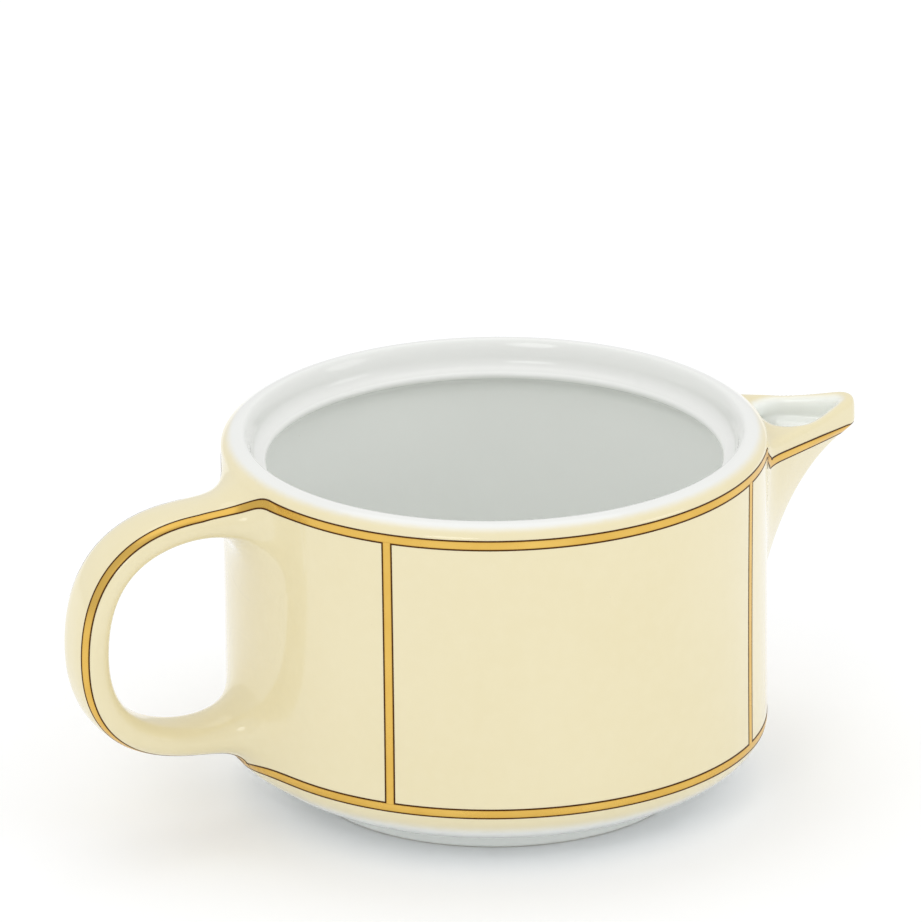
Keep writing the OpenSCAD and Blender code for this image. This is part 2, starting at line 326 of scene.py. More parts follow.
def add_object(name: str, data: bpy.types.ID) -> bpy.types.Object:
    """Puts a mesh, a light or a camera into the scene.

    Args:
        name: The new object's name.
        data: What the object shows.

    Returns:
        The object.
    """
    made = bpy.data.objects.new(name, data)
    bpy.context.scene.collection.objects.link(made)
    return made


def store(data: bpy.types.Mesh, name: str, values: Array) -> None:
    """Stores an attribute on a mesh's points.

    Args:
        data: The mesh.
        name: The attribute's name.
        values: A number or a vector for each point.
    """
    kind, key = ("FLOAT", "value") if values.ndim == 1 else ("FLOAT_VECTOR", "vector")
    layer = data.attributes.new(name, kind, "POINT")
    layer.data.foreach_set(key, values.astype(np.float32).ravel())


def relax(distance: Distance, points: Array, faces: Array, rounds: int = 5,
          hold: float = 0.4) -> Array:
    """Evens out a net of quads and keeps it on the surface.

    Args:
        distance: The field.
        points: The net's points.
        faces: The net's quads.
        rounds: How often each point moves towards its neighbours' middle.
        hold: Share of its own place that a point keeps each time.

    Returns:
        The points' new places.
    """
    ends = np.vstack([faces[:, [k, (k + 1) % 4]] for k in range(4)])
    points = settle(distance, points, 3)
    for _ in range(rounds):
        mean, count = np.zeros_like(points), np.zeros(len(points))
        for a, b in ((0, 1), (1, 0)):
            for axis in range(3):
                mean[:, axis] += np.bincount(ends[:, a], points[ends[:, b], axis], len(points))
            count += np.bincount(ends[:, a], minlength=len(points))
        points = settle(distance, hold * points + (1 - hold) * mean / count[:, None], 1)
    return settle(distance, points, 1)


def net_over(distance: Distance, low: tuple, high: tuple, pitch: float) -> Shell:
    """Wraps a field's zero surface in a net of quads.

    Args:
        distance: The field.
        low: The lowest corner of the space to search.
        high: Its highest corner.
        pitch: The size of the net's mesh.

    Returns:
        The closed surface, relaxed so that its quads are even.
    """
    axes = [np.arange(lo, hi + pitch, pitch) for lo, hi in zip(low, high)]
    shape = tuple(len(a) for a in axes)
    spots = np.stack(np.meshgrid(*axes, indexing="ij"), -1).reshape(-1, 3)
    parts = np.array_split(spots, max(1, len(spots) // NET_BATCH))
    value = np.concatenate([distance(part) for part in parts]).reshape(shape)
    cells = tuple(n - 1 for n in shape)
    # Each cell that the surface crosses gets the middle of the crossings on its edges.
    total, hits = np.zeros((*cells, 3)), np.zeros(cells)
    base = np.stack(np.meshgrid(*[np.arange(n) for n in cells], indexing="ij"), -1)
    crossings = []
    for d in range(3):
        e, f = (d + 1) % 3, (d + 2) % 3
        a = np.moveaxis(value, (d, e, f), (0, 1, 2))
        first, second = a[:-1], a[1:]
        cross = (first < 0) != (second < 0)
        share = np.where(cross, first / np.where(cross, first - second, 1), 0)
        crossings.append((cross, first < 0))
        for i in (0, 1):
            for j in (0, 1):
                cut = (slice(None), slice(i, shape[e] - 1 + i), slice(j, shape[f] - 1 + j))
                here = np.moveaxis(cross[cut], (0, 1, 2), (d, e, f))
                along = np.moveaxis(share[cut], (0, 1, 2), (d, e, f))
                hits += here
                total[..., d] += here * (base[..., d] + along)
                total[..., e] += here * (base[..., e] + i)
                total[..., f] += here * (base[..., f] + j)
    mixed = hits > 0
    number = np.full(cells, -1)
    number[mixed] = np.arange(mixed.sum())
    points = np.array(low) + pitch * total[mixed] / hits[mixed][:, None]
    # Each crossed edge gets a quad between the four cells round it.
    quads = []
    for d in range(3):
        e, f = (d + 1) % 3, (d + 2) % 3
        cross, rising = crossings[d]
        names = np.moveaxis(number, (d, e, f), (0, 1, 2))
        x, y, z = np.nonzero(cross[:, 1:-1, 1:-1])
        y, z = y + 1, z + 1
        quad = np.stack([names[x, y - 1, z - 1], names[x, y, z - 1], names[x, y, z],
                         names[x, y - 1, z]], 1)
        up = rising[x, y, z]
        quads.append(np.where(up[:, None], quad, quad[:, ::-1]))
    faces = np.vstack(quads)
    points = relax(distance, points, faces)
    return Shell(points, faces.tolist(), unit(slope_of(distance, points)))


# ---------------------------------------------------------------- the pot


@dataclass
class Pot:
    """The cast pot: foot ring, floor, side, rim and lid ledge, all round one axis."""

    radius: float
    height: float
    waist: float = 0.45
    shoulder_z: float = 12.1
    shoulder_drop: float = 5.2
    foot_r: float = 32.2
    foot_h: float = 2.6
    foot_w: float = 3.2
    foot_round: float = 0.8
    rim_bevel: float = 3.5
    rim_round: float = 2.2
    mouth_r: float = 38.8
    ledge_depth: float = 5.4
    nose_r: float = 0.7
    under_h: float = 3.4
    wall: float = 3.5
    floor: float = 3.4
    foot_flare: float = 0.7
    shoulder_out: float = 3.5
    recess_round: float = 0.6
    ledge_in: float = 1.6
    ledge_down: float = 3.0
    corner_up: float = 1.0
    corner_out: float = 2.5
    corner_in: float = 3.0
    core_gap: float = 0.6
    skin_dive: float = 1.2
    skin_inset: float = 0.8
    port_r: float = 4.0
    port_z: float = 30.0
    port_top_z: float = 49.0
    port_edge: float = 1.0
    columns: int = 320
    window_low: float = 28.0
    window_high: float = 54.2
    window_rows: int = 40
    window_half: int = 8
    table_pitch: float = 0.4
    table_low: tuple = (28.0, -6.0)
    table_high: tuple = (92.0, 74.0)
    table: Sheet = field(init=False, repr=False)

    def __post_init__(self) -> None:
        """Works out the radii and tables the distance to the outer side."""
        self.waist_r = self.radius - self.waist
        self.inner_r = self.waist_r - self.wall
        self.core_r = self.inner_r + self.core_gap
        self.crest_r = self.radius - self.rim_bevel
        self.rim_z = self.height - self.rim_round
        self.floor_z = self.foot_h + self.floor
        self.under_z = self.height - self.ledge_depth - self.nose_r - self.under_h
        self.outline = np.vstack([[[self.foot_r, 0.0]], self.outside(200),
                                  [[self.crest_r - 6, self.height]]])
        axes = [np.arange(low, high, self.table_pitch)
                for low, high in zip(self.table_low, self.table_high)]
        rho, z = np.meshgrid(*axes, indexing="ij")
        flat = np.stack([rho.ravel(), z.ravel()], 1)
        self.table = Sheet(self.exact(flat).reshape(rho.shape), self.table_low,
                           self.table_pitch)

    def rise(self, z: Array) -> Array:
        """Radius of the outer side between the shoulder and the rim.

        Args:
            z: Heights.

        Returns:
            The radius at each height.
        """
        t = np.clip((z - self.shoulder_z) / (self.rim_z - self.shoulder_z), 0, 1)
        return self.waist_r + self.waist * t * t

    def shoulder(self) -> Array:
        """Outline from the foot ring up round the shoulder."""
        return curve(
            [(self.foot_r + self.foot_flare, self.foot_h),
             (self.foot_r + self.shoulder_out, self.foot_h),
             (self.waist_r, self.shoulder_z - self.shoulder_drop),
             (self.waist_r, self.shoulder_z)], 41)

    def rim_outside(self) -> Array:
        """Outline of the rim's rounded outer edge, up to the crest."""
        return curve(
            [(self.radius, self.rim_z), (self.radius, self.rim_z + self.rim_round * 0.32),
             (self.crest_r + self.rim_bevel * 0.5, self.height), (self.crest_r, self.height)],
            25)

    def outside(self, rows: int) -> Array:
        """Outline of the outer side from the foot to the crest.

        Args:
            rows: How many points the upright stretch gets.

        Returns:
            Radius and height of each point.
        """
        z = np.linspace(self.shoulder_z, self.rim_z, rows)
        return np.vstack([self.shoulder()[:-1], np.stack([self.rise(z), z], 1)[:-1],
                          self.rim_outside()])

    def rim_inside(self) -> Array:
        """Outline from the crest over the lid ledge and round its nose to the inner wall.

        Returns:
            Radius and height of each point after the crest.
        """
        top, nose = self.height, self.height - self.ledge_depth
        edge, r = self.mouth_r + self.nose_r, self.crest_r
        bend = (r - self.ledge_in, top - self.ledge_down)
        return np.vstack([
            curve([(r, top), (r - 0.8, top), (r - 1.4, top - 1.8), bend], 15)[1:],
            curve([bend, (r - 1.9, top - 4.2), (r - 2.6, nose + self.nose_r + 0.2),
                   (edge, nose + self.nose_r)], 11)[1:],
            arc((edge, nose), self.nose_r, 90, 270, 13)[1:],
            curve([(edge, nose - self.nose_r), (edge + 1.6, nose - self.nose_r - 0.2),
                   (self.inner_r, self.under_z + 1.6), (self.inner_r, self.under_z)], 11)[1:],
        ])

    def foot(self) -> Array:
        """Outline from the middle of the underside over the foot ring to the shoulder.

        Returns:
            Radius and height of each point.
        """
        inner, edge, small = self.foot_r - self.foot_w, self.foot_round, self.recess_round
        recess = inner - small
        flat = np.stack([np.linspace(0, recess, 14), np.full(14, self.foot_h)], 1)
        return np.vstack([
            flat,
            arc((recess, self.foot_h - small), small, 75, 0, 5),
            arc((inner + edge, edge), edge, 180, 270, 7),
            arc((self.foot_r - edge, edge), edge, -90, 0, 7),
            [[self.foot_r, self.foot_h - 0.5], [self.foot_r + 0.2, self.foot_h - 0.12]],
        ])

    def exact(self, flat: Array) -> Array:
        """Distance to the outer outline.

        Args:
            flat: Radius and height of each point.

        Returns:
            The distance of each point, negative inside.
        """
        a, b = self.outline[:-1], self.outline[1:]
        along = b - a
        size = (along**2).sum(1)
        out = np.empty(len(flat))
        for lo in range(0, len(flat), OUTLINE_BATCH):
            q = flat[lo:lo + OUTLINE_BATCH, None, :] - a
            t = np.clip((q * along).sum(2) / size, 0, 1)
            gap = q - t[..., None] * along
            far = (gap**2).sum(2)
            best = far.argmin(1)
            row = np.arange(len(best))
            turn, off = along[best], gap[row, best]
            sign = off[:, 0] * turn[:, 1] - off[:, 1] * turn[:, 0]
            out[lo:lo + OUTLINE_BATCH] = (np.sqrt(far[row, best])
                                          * np.where(sign < 0, -1, 1))
        return out

    def distance(self, p: Array) -> Array:
        """Distance to the pot taken as solid, negative inside.

        Args:
            p: Points, one per row.

        Returns:
            The distance of each point.
        """
        return self.table.at(np.hypot(p[:, 0], p[:, 1]), p[:, 2])

    def skin_over(self, part: Array, fillet: Array, dive_from: float, p: Array) -> Array:
        """Runs a part out over the side as a skin that dives under the glaze.

        Args:
            part: Distance to the part at each point.
            fillet: Size of the root's fillet at each point.
            dive_from: Share of the fillet's size where the skin starts to dive.
            p: Points, one per row.

        Returns:
            The distance of each point to the part with its skin.
        """
        side = self.distance(p)
        dive = self.skin_dive * step_up(part / fillet, dive_from, 1.5)
        whole = np.maximum(smooth_min(part, side, fillet) + dive, -self.skin_inset - side)
        return np.maximum(whole, self.core_r - np.hypot(p[:, 0], p[:, 1]))

    def rows(self) -> tuple[Array, int, int]:
        """Lists the revolved outline.

        Returns:
            The outline from the underside's middle to the floor's middle, and the rows where
            the port's window starts outside and inside, the underside's middle not counted.
        """
        window = np.linspace(self.window_low, self.window_high, self.window_rows + 1)
        low = np.linspace(self.shoulder_z, self.window_low, 14)[:-1]
        high = np.linspace(self.window_high, self.rim_z, 8)[1:]
        z = np.concatenate([low, window, high])
        upright = np.stack([self.rise(z), z], 1)
        lower = np.vstack([self.foot(), self.shoulder()[:-1]])
        outer = np.vstack([lower, upright[:-1], self.rim_outside(), self.rim_inside()])
        start = self.shoulder_z + self.corner_up
        z = np.concatenate([window[::-1], np.linspace(self.window_low, start, 12)[1:]])
        inner = np.stack([np.full(len(z), self.inner_r), z], 1)
        flat_r = self.foot_r - self.corner_in
        corner = curve([(self.inner_r, start),
                        (self.inner_r, self.shoulder_z - self.shoulder_drop + 1.6),
                        (self.foot_r + self.corner_out, self.floor_z),
                        (flat_r, self.floor_z)], 25)
        flat = np.stack([np.linspace(flat_r, 0, 14), np.full(14, self.floor_z)], 1)
        whole = np.vstack([outer, inner, corner[1:], flat[1:]])
        return whole, len(lower) + len(low) - 1, len(outer) - 1

    def shell(self) -> Shell:
        """Revolves the outline and lets the pouring port into it.

        Returns:
            The closed pot.
        """
        outline, outside_at, inside_at = self.rows()
        n, m = self.columns, self.window_half
        turn = 2 * np.pi * np.arange(n) / n
        body = outline[1:-1]
        ring = np.stack([np.cos(turn), np.sin(turn)], 1)
        points = np.concatenate([np.column_stack([r * ring, np.full(n, z)]) for r, z in body])
        bottom, top = len(points), len(points) + 1
        points = np.vstack([points, [[0, 0, outline[0, 1]], [0, 0, outline[-1, 1]]]])
        faces = []
        skip = {(i, j) for start in (outside_at, inside_at)
                for i in range(start, start + self.window_rows)
                for j in [*range(m), *range(n - m, n)]}
        for i in range(len(body) - 1):
            for j in range(n):
                if (i, j) not in skip:
                    k = (j + 1) % n
                    faces.append([i * n + j, i * n + k, (i + 1) * n + k, (i + 1) * n + j])
        last = (len(body) - 1) * n
        for j in range(n):
            k = (j + 1) % n
            faces.append([bottom, k, j])
            faces.append([top, last + j, last + k])
        return self.let_port(points, faces, outside_at, inside_at)

    def let_port(self, points: Array, faces: list, outside_at: int, inside_at: int) -> Shell:
        """Bridges the two windows with patches, rounded edges and the port's tunnel.

        Args:
            points: The revolved points.
            faces: The revolved faces without the windows' ones.
            outside_at: The outer window's first row.
            inside_at: The inner window's first row, which is its highest.

        Returns:
            The closed pot.
        """
        n, m, rows = self.columns, self.window_half, self.window_rows
        across = [j % n for j in range(-m, m + 1)]
        path = ([(0, j) for j in across] + [(i, across[-1]) for i in range(1, rows + 1)]
                + [(rows, j) for j in across[::-1][1:]]
                + [(i, across[0]) for i in range(rows - 1, 0, -1)])
        outer_ids = [(outside_at + i) * n + j for i, j in path]
        inner_ids = [(inside_at + rows - i) * n + j for i, j in path]
        edge = points[outer_ids]
        middle = np.zeros((len(edge), 2))
        middle[:, 1] = np.clip(edge[:, 2], self.port_z + self.port_r,
                               self.port_top_z - self.port_r)
        away = unit(edge[:, 1:] - middle)

        def spot(target: Array, depth: float, outer: bool) -> Array:
            """Places one ring round the port.

            Args:
                target: The ring's breadths and heights.
                depth: How far below the wall's surface it lies.
                outer: Whether it lies by the outer side.

            Returns:
                The ring's points.
            """
            radius = self.rise(target[:, 1]) - depth if outer else self.inner_r + depth
            x = np.sqrt(np.maximum(radius**2 - target[:, 0]**2, 0))
            return np.column_stack([x, target])

        def rim(grow: float) -> Array:
            """Outline of the port grown by an amount, in breadth and height."""
            return middle + (self.port_r + grow) * away

        chain: list[Array] = []
        size = self.port_edge
        for ids, outer in ((outer_ids, True), (inner_ids, False)):
            start = points[ids][:, 1:]
            rings = [spot(start + (rim(size) - start) * t, 0.0, outer) for t in (0.25, 0.5, 0.75)]
            rings += [spot(rim(size * (1 - math.sin(a))), size * (1 - math.cos(a)), outer)
                      for a in np.radians(np.linspace(0, 90, 7))]
            chain += rings if outer else rings[::-1]
        count, first = len(edge), len(points)
        points = np.vstack([points, *chain])
        ids = [outer_ids, *[list(range(first + r * count, first + (r + 1) * count))
                            for r in range(len(chain))], inner_ids]
        for a, b in zip(ids[:-1], ids[1:]):
            for i in range(count):
                j = (i + 1) % count
                faces.append([a[i], a[j], b[j], b[i]])
        return Shell(points, faces)


# ---------------------------------------------------------------- the handle


@dataclass
class Handle:
    """The loop handle: a rounded oblong section swept along one centre line."""

    pot: Pot
    reach: float = 28.9
    drop: float = 7.4
    low_z: float = 17.1
    turn_z: float = 35.7
    breadth_top: float = 12.4
    breadth_low: float = 10.4
    thick: float = 4.8
    thick_turn: float = 6.0
    thick_low: float = 6.2
    power: float = 2.5
    top_out: float = 4.5
    top_bend: float = 8.5
    top_lift: float = 1.106
    low_out: float = 5.5
    low_bend: float = 9.5
    low_lift: float = 1.07
    root_in: float = 9.0
    thick_low_span: tuple = (0.75, 0.97)
    fillets: tuple = (13.0, 16.0, 14.0, 5.0)
    fillet_spans: tuple = ((14.0, 22.0), (50.0, 57.0), (59.5, 63.5))
    dive_from: float = 0.8
    line_at: float = 138.0
    line_at_back: float = 158.0
    line_at_low: float = 112.0
    line_turns: tuple = (0.5, 0.84)
    pitch: float = 0.42

    def __post_init__(self) -> None:
        """Tables the centre line by its length."""
        r, top = self.pot.radius, self.pot.height - self.drop
        turn = -(r + self.reach)
        upper = curve([(-(r + self.top_out), top), (-(r + self.top_bend), top),
                       (turn, self.turn_z + self.top_lift * (top - self.turn_z)),
                       (turn, self.turn_z)], 400)
        lower = curve([(turn, self.turn_z),
                       (turn, self.turn_z - self.low_lift * (self.turn_z - self.low_z)),
                       (-(r + self.low_bend), self.low_z), (-(r + self.low_out), self.low_z)],
                      400)
        root = -(r - self.root_in)
        line = np.vstack([[[root, top]], upper, lower[1:], [[root, self.low_z]]])
        along = lengths_along(line)
        self.length = along[-1]
        self.s = np.linspace(0, self.length, 1600)
        self.x = np.interp(self.s, along, line[:, 0])
        self.z = np.interp(self.s, along, line[:, 1])
        # A short running mean takes the kinks out where the curves meet.
        reach = 20
        blur = np.hanning(2 * reach + 1)
        blur /= blur.sum()
        pads = [np.pad(q, reach, mode="reflect", reflect_type="odd") for q in (self.x, self.z)]
        self.x, self.z = (np.convolve(q, blur, "valid") for q in pads)
        self.tx = np.gradient(self.x, self.s)
        self.tz = np.gradient(self.z, self.s)
        turn_s = self.s[self.x.argmin()]
        self.share = np.interp(self.s, [0, turn_s, self.length], [0, 0.5, 1])

    def read(self, s: Array, *tables: Array) -> list[Array]:
        """Reads tables at lengths along the centre line."""
        return [np.interp(s, self.s, table) for table in tables]

    def breadth(self, s: Array) -> Array:
        """Breadth of the section at a length along the centre line."""
        u = np.interp(s, self.s, self.share)
        return self.breadth_top + (self.breadth_low - self.breadth_top) * u

    def thickness(self, s: Array) -> Array:
        """Thickness of the section at a length along the centre line."""
        u = np.interp(s, self.s, self.share)
        return (self.thick + (self.thick_turn - self.thick) * np.sin(np.pi * u)**2
                + (self.thick_low - self.thick) * step_up(u, *self.thick_low_span))

    def distance(self, p: Array) -> Array:
        """Distance to the handle, negative inside.

        Args:
            p: Points, one per row.

        Returns:
            The distance of each point.
        """
        # The nearest of a few marks along the line is where the search for each point starts.
        marks = slice(8, None, 24)
        mx, mz, ms = self.x[marks], self.z[marks], self.s[marks]
        s = np.empty(len(p))
        for lo in range(0, len(p), CENTRE_LINE_BATCH):
            q = p[lo:lo + CENTRE_LINE_BATCH]
            far = (q[:, :1] - mx)**2 + (q[:, 2:] - mz)**2
            s[lo:lo + CENTRE_LINE_BATCH] = ms[far.argmin(1)]
        for _ in range(4):
            x, z, tx, tz = self.read(s, self.x, self.z, self.tx, self.tz)
            s = np.clip(s + (p[:, 0] - x) * tx + (p[:, 2] - z) * tz, 0, self.length)
        x, z, tx, tz = self.read(s, self.x, self.z, self.tx, self.tz)
        gx, gz = p[:, 0] - x, p[:, 2] - z
        out = gx * tz - gz * tx
        a, b = self.thickness(s) / 2, self.breadth(s) / 2
        size = np.sqrt(gx**2 + gz**2 + p[:, 1]**2)
        g = (np.abs(out / a)**self.power + np.abs(p[:, 1] / b)**self.power)**(1 / self.power)
        return size * (1 - 1 / np.maximum(g, 0.05))

    def fillet_at(self, p: Array) -> Array:
        """Size of the root's fillet, smaller by the rim and by the foot."""
        return stepped(p[:, 2], self.fillets, self.fillet_spans)

    def piece(self, p: Array) -> Array:
        """Distance to the handle with a skin that dives under the pot's side."""
        return self.pot.skin_over(self.distance(p), self.fillet_at(p), self.dive_from, p)

    def shell(self) -> Shell:
        """Nets the piece."""
        r = self.pot.radius
        return net_over(self.piece, (-(r + self.reach + 4.3), -19.1, 2.0),
                        (-(r - 9.5), 19.1, self.pot.height + 3), self.pitch)

    def line_start(self, side: Side, at: float) -> Array:
        """A point on the handle's outer corner.

        Args:
            side: Which long side.
            at: Length along the centre line.

        Returns:
            The point.
        """
        s = np.array([at])
        x, z, tx, tz, share = (v[0] for v in self.read(s, self.x, self.z, self.tx, self.tz,
                                                       self.share))
        angle = self.line_at if side is Side.FRONT else self.line_at_back
        angle += (self.line_at_low - angle) * step_up(share, *self.line_turns)
        angle = math.radians(angle)
        power = 2 / self.power
        breadth = abs(math.cos(angle))**power * self.breadth(s)[0] / 2
        out = abs(math.sin(angle))**power * self.thickness(s)[0] / 2
        return np.array([x + out * tz, side.value * breadth, z - out * tx])


# ---------------------------------------------------------------- the beak


@dataclass
class Beak:
    """The beak: a hollow spout with a leaf-shaped mouth, open to the pouring port."""

    pot: Pot
    reach: float = 20.0
    drop: float = 5.2
    rise: float = 1.4
    foot_z: float = 14.4
    root_angle: float = 20.0
    foot_angle: float = 6.0
    nose_r: float = 3.5
    belly: float = 2.2
    wall: float = 3.0
    web: float = 3.4
    lip_round: float = 2.6
    mouth_round: float = 3.4
    leaf_r: float = 6.2
    leaf_x: float = 54.0
    leaf_tip_x: float = 62.3
    leaf_tip_r: float = 1.1
    leaf_cut_x: float = 49.9
    keel_low: tuple = (0.17, 0.47)
    keel_high: tuple = (0.36, 9.1)
    keel_end: tuple = (1.2, 2.8)
    root_in: float = 0.5
    root_power: float = 0.7
    lean_most: float = 65.0
    rise_from: float = 4.0
    foot_cut: float = 1.5
    channel_round: float = 1.6
    mouth_in: float = 0.9
    mouth_deep: float = 4.0
    fillets: tuple = (1.0, 4.0, 2.5)
    fillet_spans: tuple = ((18.0, 42.0), (55.0, 60.0))
    dive_from: float = 0.72
    pitch: float = 0.36

    def __post_init__(self) -> None:
        """Tables the keel by height."""
        self.crest_z = self.pot.height - self.drop
        self.tip_x = self.pot.radius + self.reach
        low_x, low_z = self.keel_low
        high_x, high_down = self.keel_high
        end_out, end_down = self.keel_end
        keel = curve([(self.pot.waist_r - 0.2, self.foot_z),
                      (self.pot.waist_r + self.reach * low_x,
                       self.foot_z + (self.crest_z - self.foot_z) * low_z),
                      (self.pot.radius + self.reach * high_x, self.crest_z - high_down),
                      (self.tip_x + end_out, self.crest_z - end_down)], 400)
        self.keel_x, self.keel_z = keel[:, 0], keel[:, 1]
        self.keel_t = np.linspace(0, 1, 400)

    def plan(self, x: Array, y: Array, z: Array) -> Array:
        """Distance, seen from above, to the beak's level ring at a height.

        Args:
            x: Places along the beak.
            y: Places across it.
            z: Heights.

        Returns:
            The distance of each point.
        """
        t = np.interp(z, self.keel_z, self.keel_t)
        nose = smooth_min(np.interp(t, self.keel_t, self.keel_x), np.full(len(t), self.tip_x),
                          1.5)
        r = self.nose_r + self.belly * np.sin(np.pi * t)
        c = nose - r
        root = np.radians(self.foot_angle
                          + (self.root_angle - self.foot_angle) * np.maximum(t, 1e-6)**self.root_power)
        root_r = self.pot.waist_r - self.root_in
        sx, sy = root_r * np.cos(root), root_r * np.sin(root)
        span = np.hypot(c - sx, sy)
        lean = np.arctan2(sy, c - sx) - np.arcsin(np.minimum(r / span, 1))
        lean = np.minimum(lean, math.radians(self.lean_most))
        y = np.abs(y)
        nx, ny = np.sin(lean), np.cos(lean)
        flank = (x - sx) * nx + (y - sy) * ny
        along = (x - sx) * ny - (y - sy) * nx
        length = (c - sx) * ny + sy * nx
        sides = np.where(along > length, np.hypot(x - c, y) - r, flank)
        return smooth_max(sides, y - sy - 1.0, 2.0)

    def sides(self, p: Array) -> Array:
        """Distance to the beak's flanks and keel, as if it had no top.

        Args:
            p: Points, one per row.

        Returns:
            The distance of each point, evened out where the flanks lean.
        """
        x, y, z = p.T
        here = self.plan(x, y, z)
        slope = (self.plan(x, y, z + 0.3) - self.plan(x, y, z - 0.3)) / 0.6
        return here / np.sqrt(1 + slope**2)

    def crest(self, x: Array) -> Array:
        """Height of the crest at a distance from the axis."""
        share = np.maximum(x - (self.pot.radius + self.rise_from), 0) \
            / (self.reach - self.rise_from)
        return self.crest_z + self.rise * share**2

    def outer(self, p: Array) -> Array:
        """Distance to the beak taken as solid."""
        solid = smooth_max(self.sides(p), p[:, 2] - self.crest(p[:, 0]), self.lip_round)
        return np.maximum(solid, self.foot_z - self.foot_cut - p[:, 2])

    def leaf(self, p: Array) -> Array:
        """Distance, seen from above, to the leaf-shaped mouth.

        Args:
            p: Points, one per row.

        Returns:
            The distance of each point, negative over the mouth.
        """
        x, y = p[:, 0], np.abs(p[:, 1])
        span = self.leaf_tip_x - self.leaf_x
        lean = math.asin((self.leaf_r - self.leaf_tip_r) / span)
        along = (x - self.leaf_x) * math.cos(lean) - y * math.sin(lean)
        flank = (x - self.leaf_x) * math.sin(lean) + y * math.cos(lean) - self.leaf_r
        near = np.hypot(x - self.leaf_x, y) - self.leaf_r
        far = np.hypot(x - self.leaf_tip_x, y) - self.leaf_tip_r
        hull = np.where(along < 0, near, np.where(along > span * math.cos(lean), far, flank))
        return smooth_max(hull, self.leaf_cut_x - x, 4.0)

    def hollow(self, p: Array) -> Array:
        """Distance to the channel and the mouth.

        Args:
            p: Points, one per row.

        Returns:
            The distance of each point, negative in the hollow.
        """
        sides = self.sides(p) + self.wall
        depth = self.crest(p[:, 0]) - p[:, 2]
        channel = smooth_max(sides, self.web - depth, self.channel_round)
        mouth = smooth_max(self.leaf(p), sides - self.mouth_in, 1.2)
        mouth = smooth_max(mouth, depth - self.web - self.mouth_deep, 2.0)
        return smooth_min(channel, mouth, self.channel_round)

    def fillet_at(self, p: Array) -> Array:
        """Size of the root's fillet, small at the foot of the keel."""
        return stepped(p[:, 2], self.fillets, self.fillet_spans)

    def piece(self, p: Array) -> Array:
        """Distance to the hollow beak with a skin that dives under the pot's side."""
        whole = self.pot.skin_over(self.outer(p), self.fillet_at(p), self.dive_from, p)
        return smooth_max(whole, -self.hollow(p), self.mouth_round)

    def shell(self) -> Shell:
        """Nets the piece."""
        return net_over(self.piece, (36.4, -24.1, 7.0), (self.tip_x + 1.5, 24.1, 66.0),
                        self.pitch)


# ---------------------------------------------------------------- node trees


class Tree:
    """A node tree under construction."""

    def __init__(self, tree: bpy.types.NodeTree) -> None:
        """Keeps the tree.

        Args:
            tree: The tree to build in.
        """
        self.tree = tree

    def add(self, kind: str, settings: dict | None = None, **inputs: object) -> bpy.types.Node:
        """Adds a node.

        Args:
            kind: The node's type.
            settings: The node's own settings.
            inputs: Sockets by name, as i0, i1 for a place or by words joined with _.

        Returns:
            The node.
        """
        node = self.tree.nodes.new(kind)
        for name, value in (settings or {}).items():
            setattr(node, name, value)
        for name, value in inputs.items():
            if name[0] == "i" and name[1:].isdigit():
                socket = node.inputs[int(name[1:])]
            else:
                socket = node.inputs[name.replace("_", " ")]
            self.feed(socket, value)
        return node

    def feed(self, socket: bpy.types.NodeSocket, value: object) -> None:
        """Links an input to another node's output, or sets it to a value.

        Args:
            socket: The input.
            value: The output or the value.
        """
        if isinstance(value, bpy.types.NodeSocket):
            self.tree.links.new(value, socket)
        else:
            socket.default_value = value

    def math(self, operation: str, a: object, b: object = 0.0) -> bpy.types.NodeSocket:
        """Adds a math node and gives its result."""
        kind = "ShaderNodeMath"
        return self.add(kind, {"operation": operation}, i0=a, i1=b).outputs[0]

    def vector(self, operation: str, a: object, b: object) -> bpy.types.NodeSocket:
        """Adds a vector math node.

        Args:
            operation: What it does.
            a: The vector.
            b: The second vector, or the factor for SCALE.

        Returns:
            The node's result.
        """
        kind = "ShaderNodeVectorMath"
        if operation == "SCALE":
            node = self.add(kind, {"operation": operation}, i0=a)
            self.tree.links.new(b, node.inputs["Scale"])
            return node.outputs[0]
        return self.add(kind, {"operation": operation}, i0=a, i1=b).outputs[0]


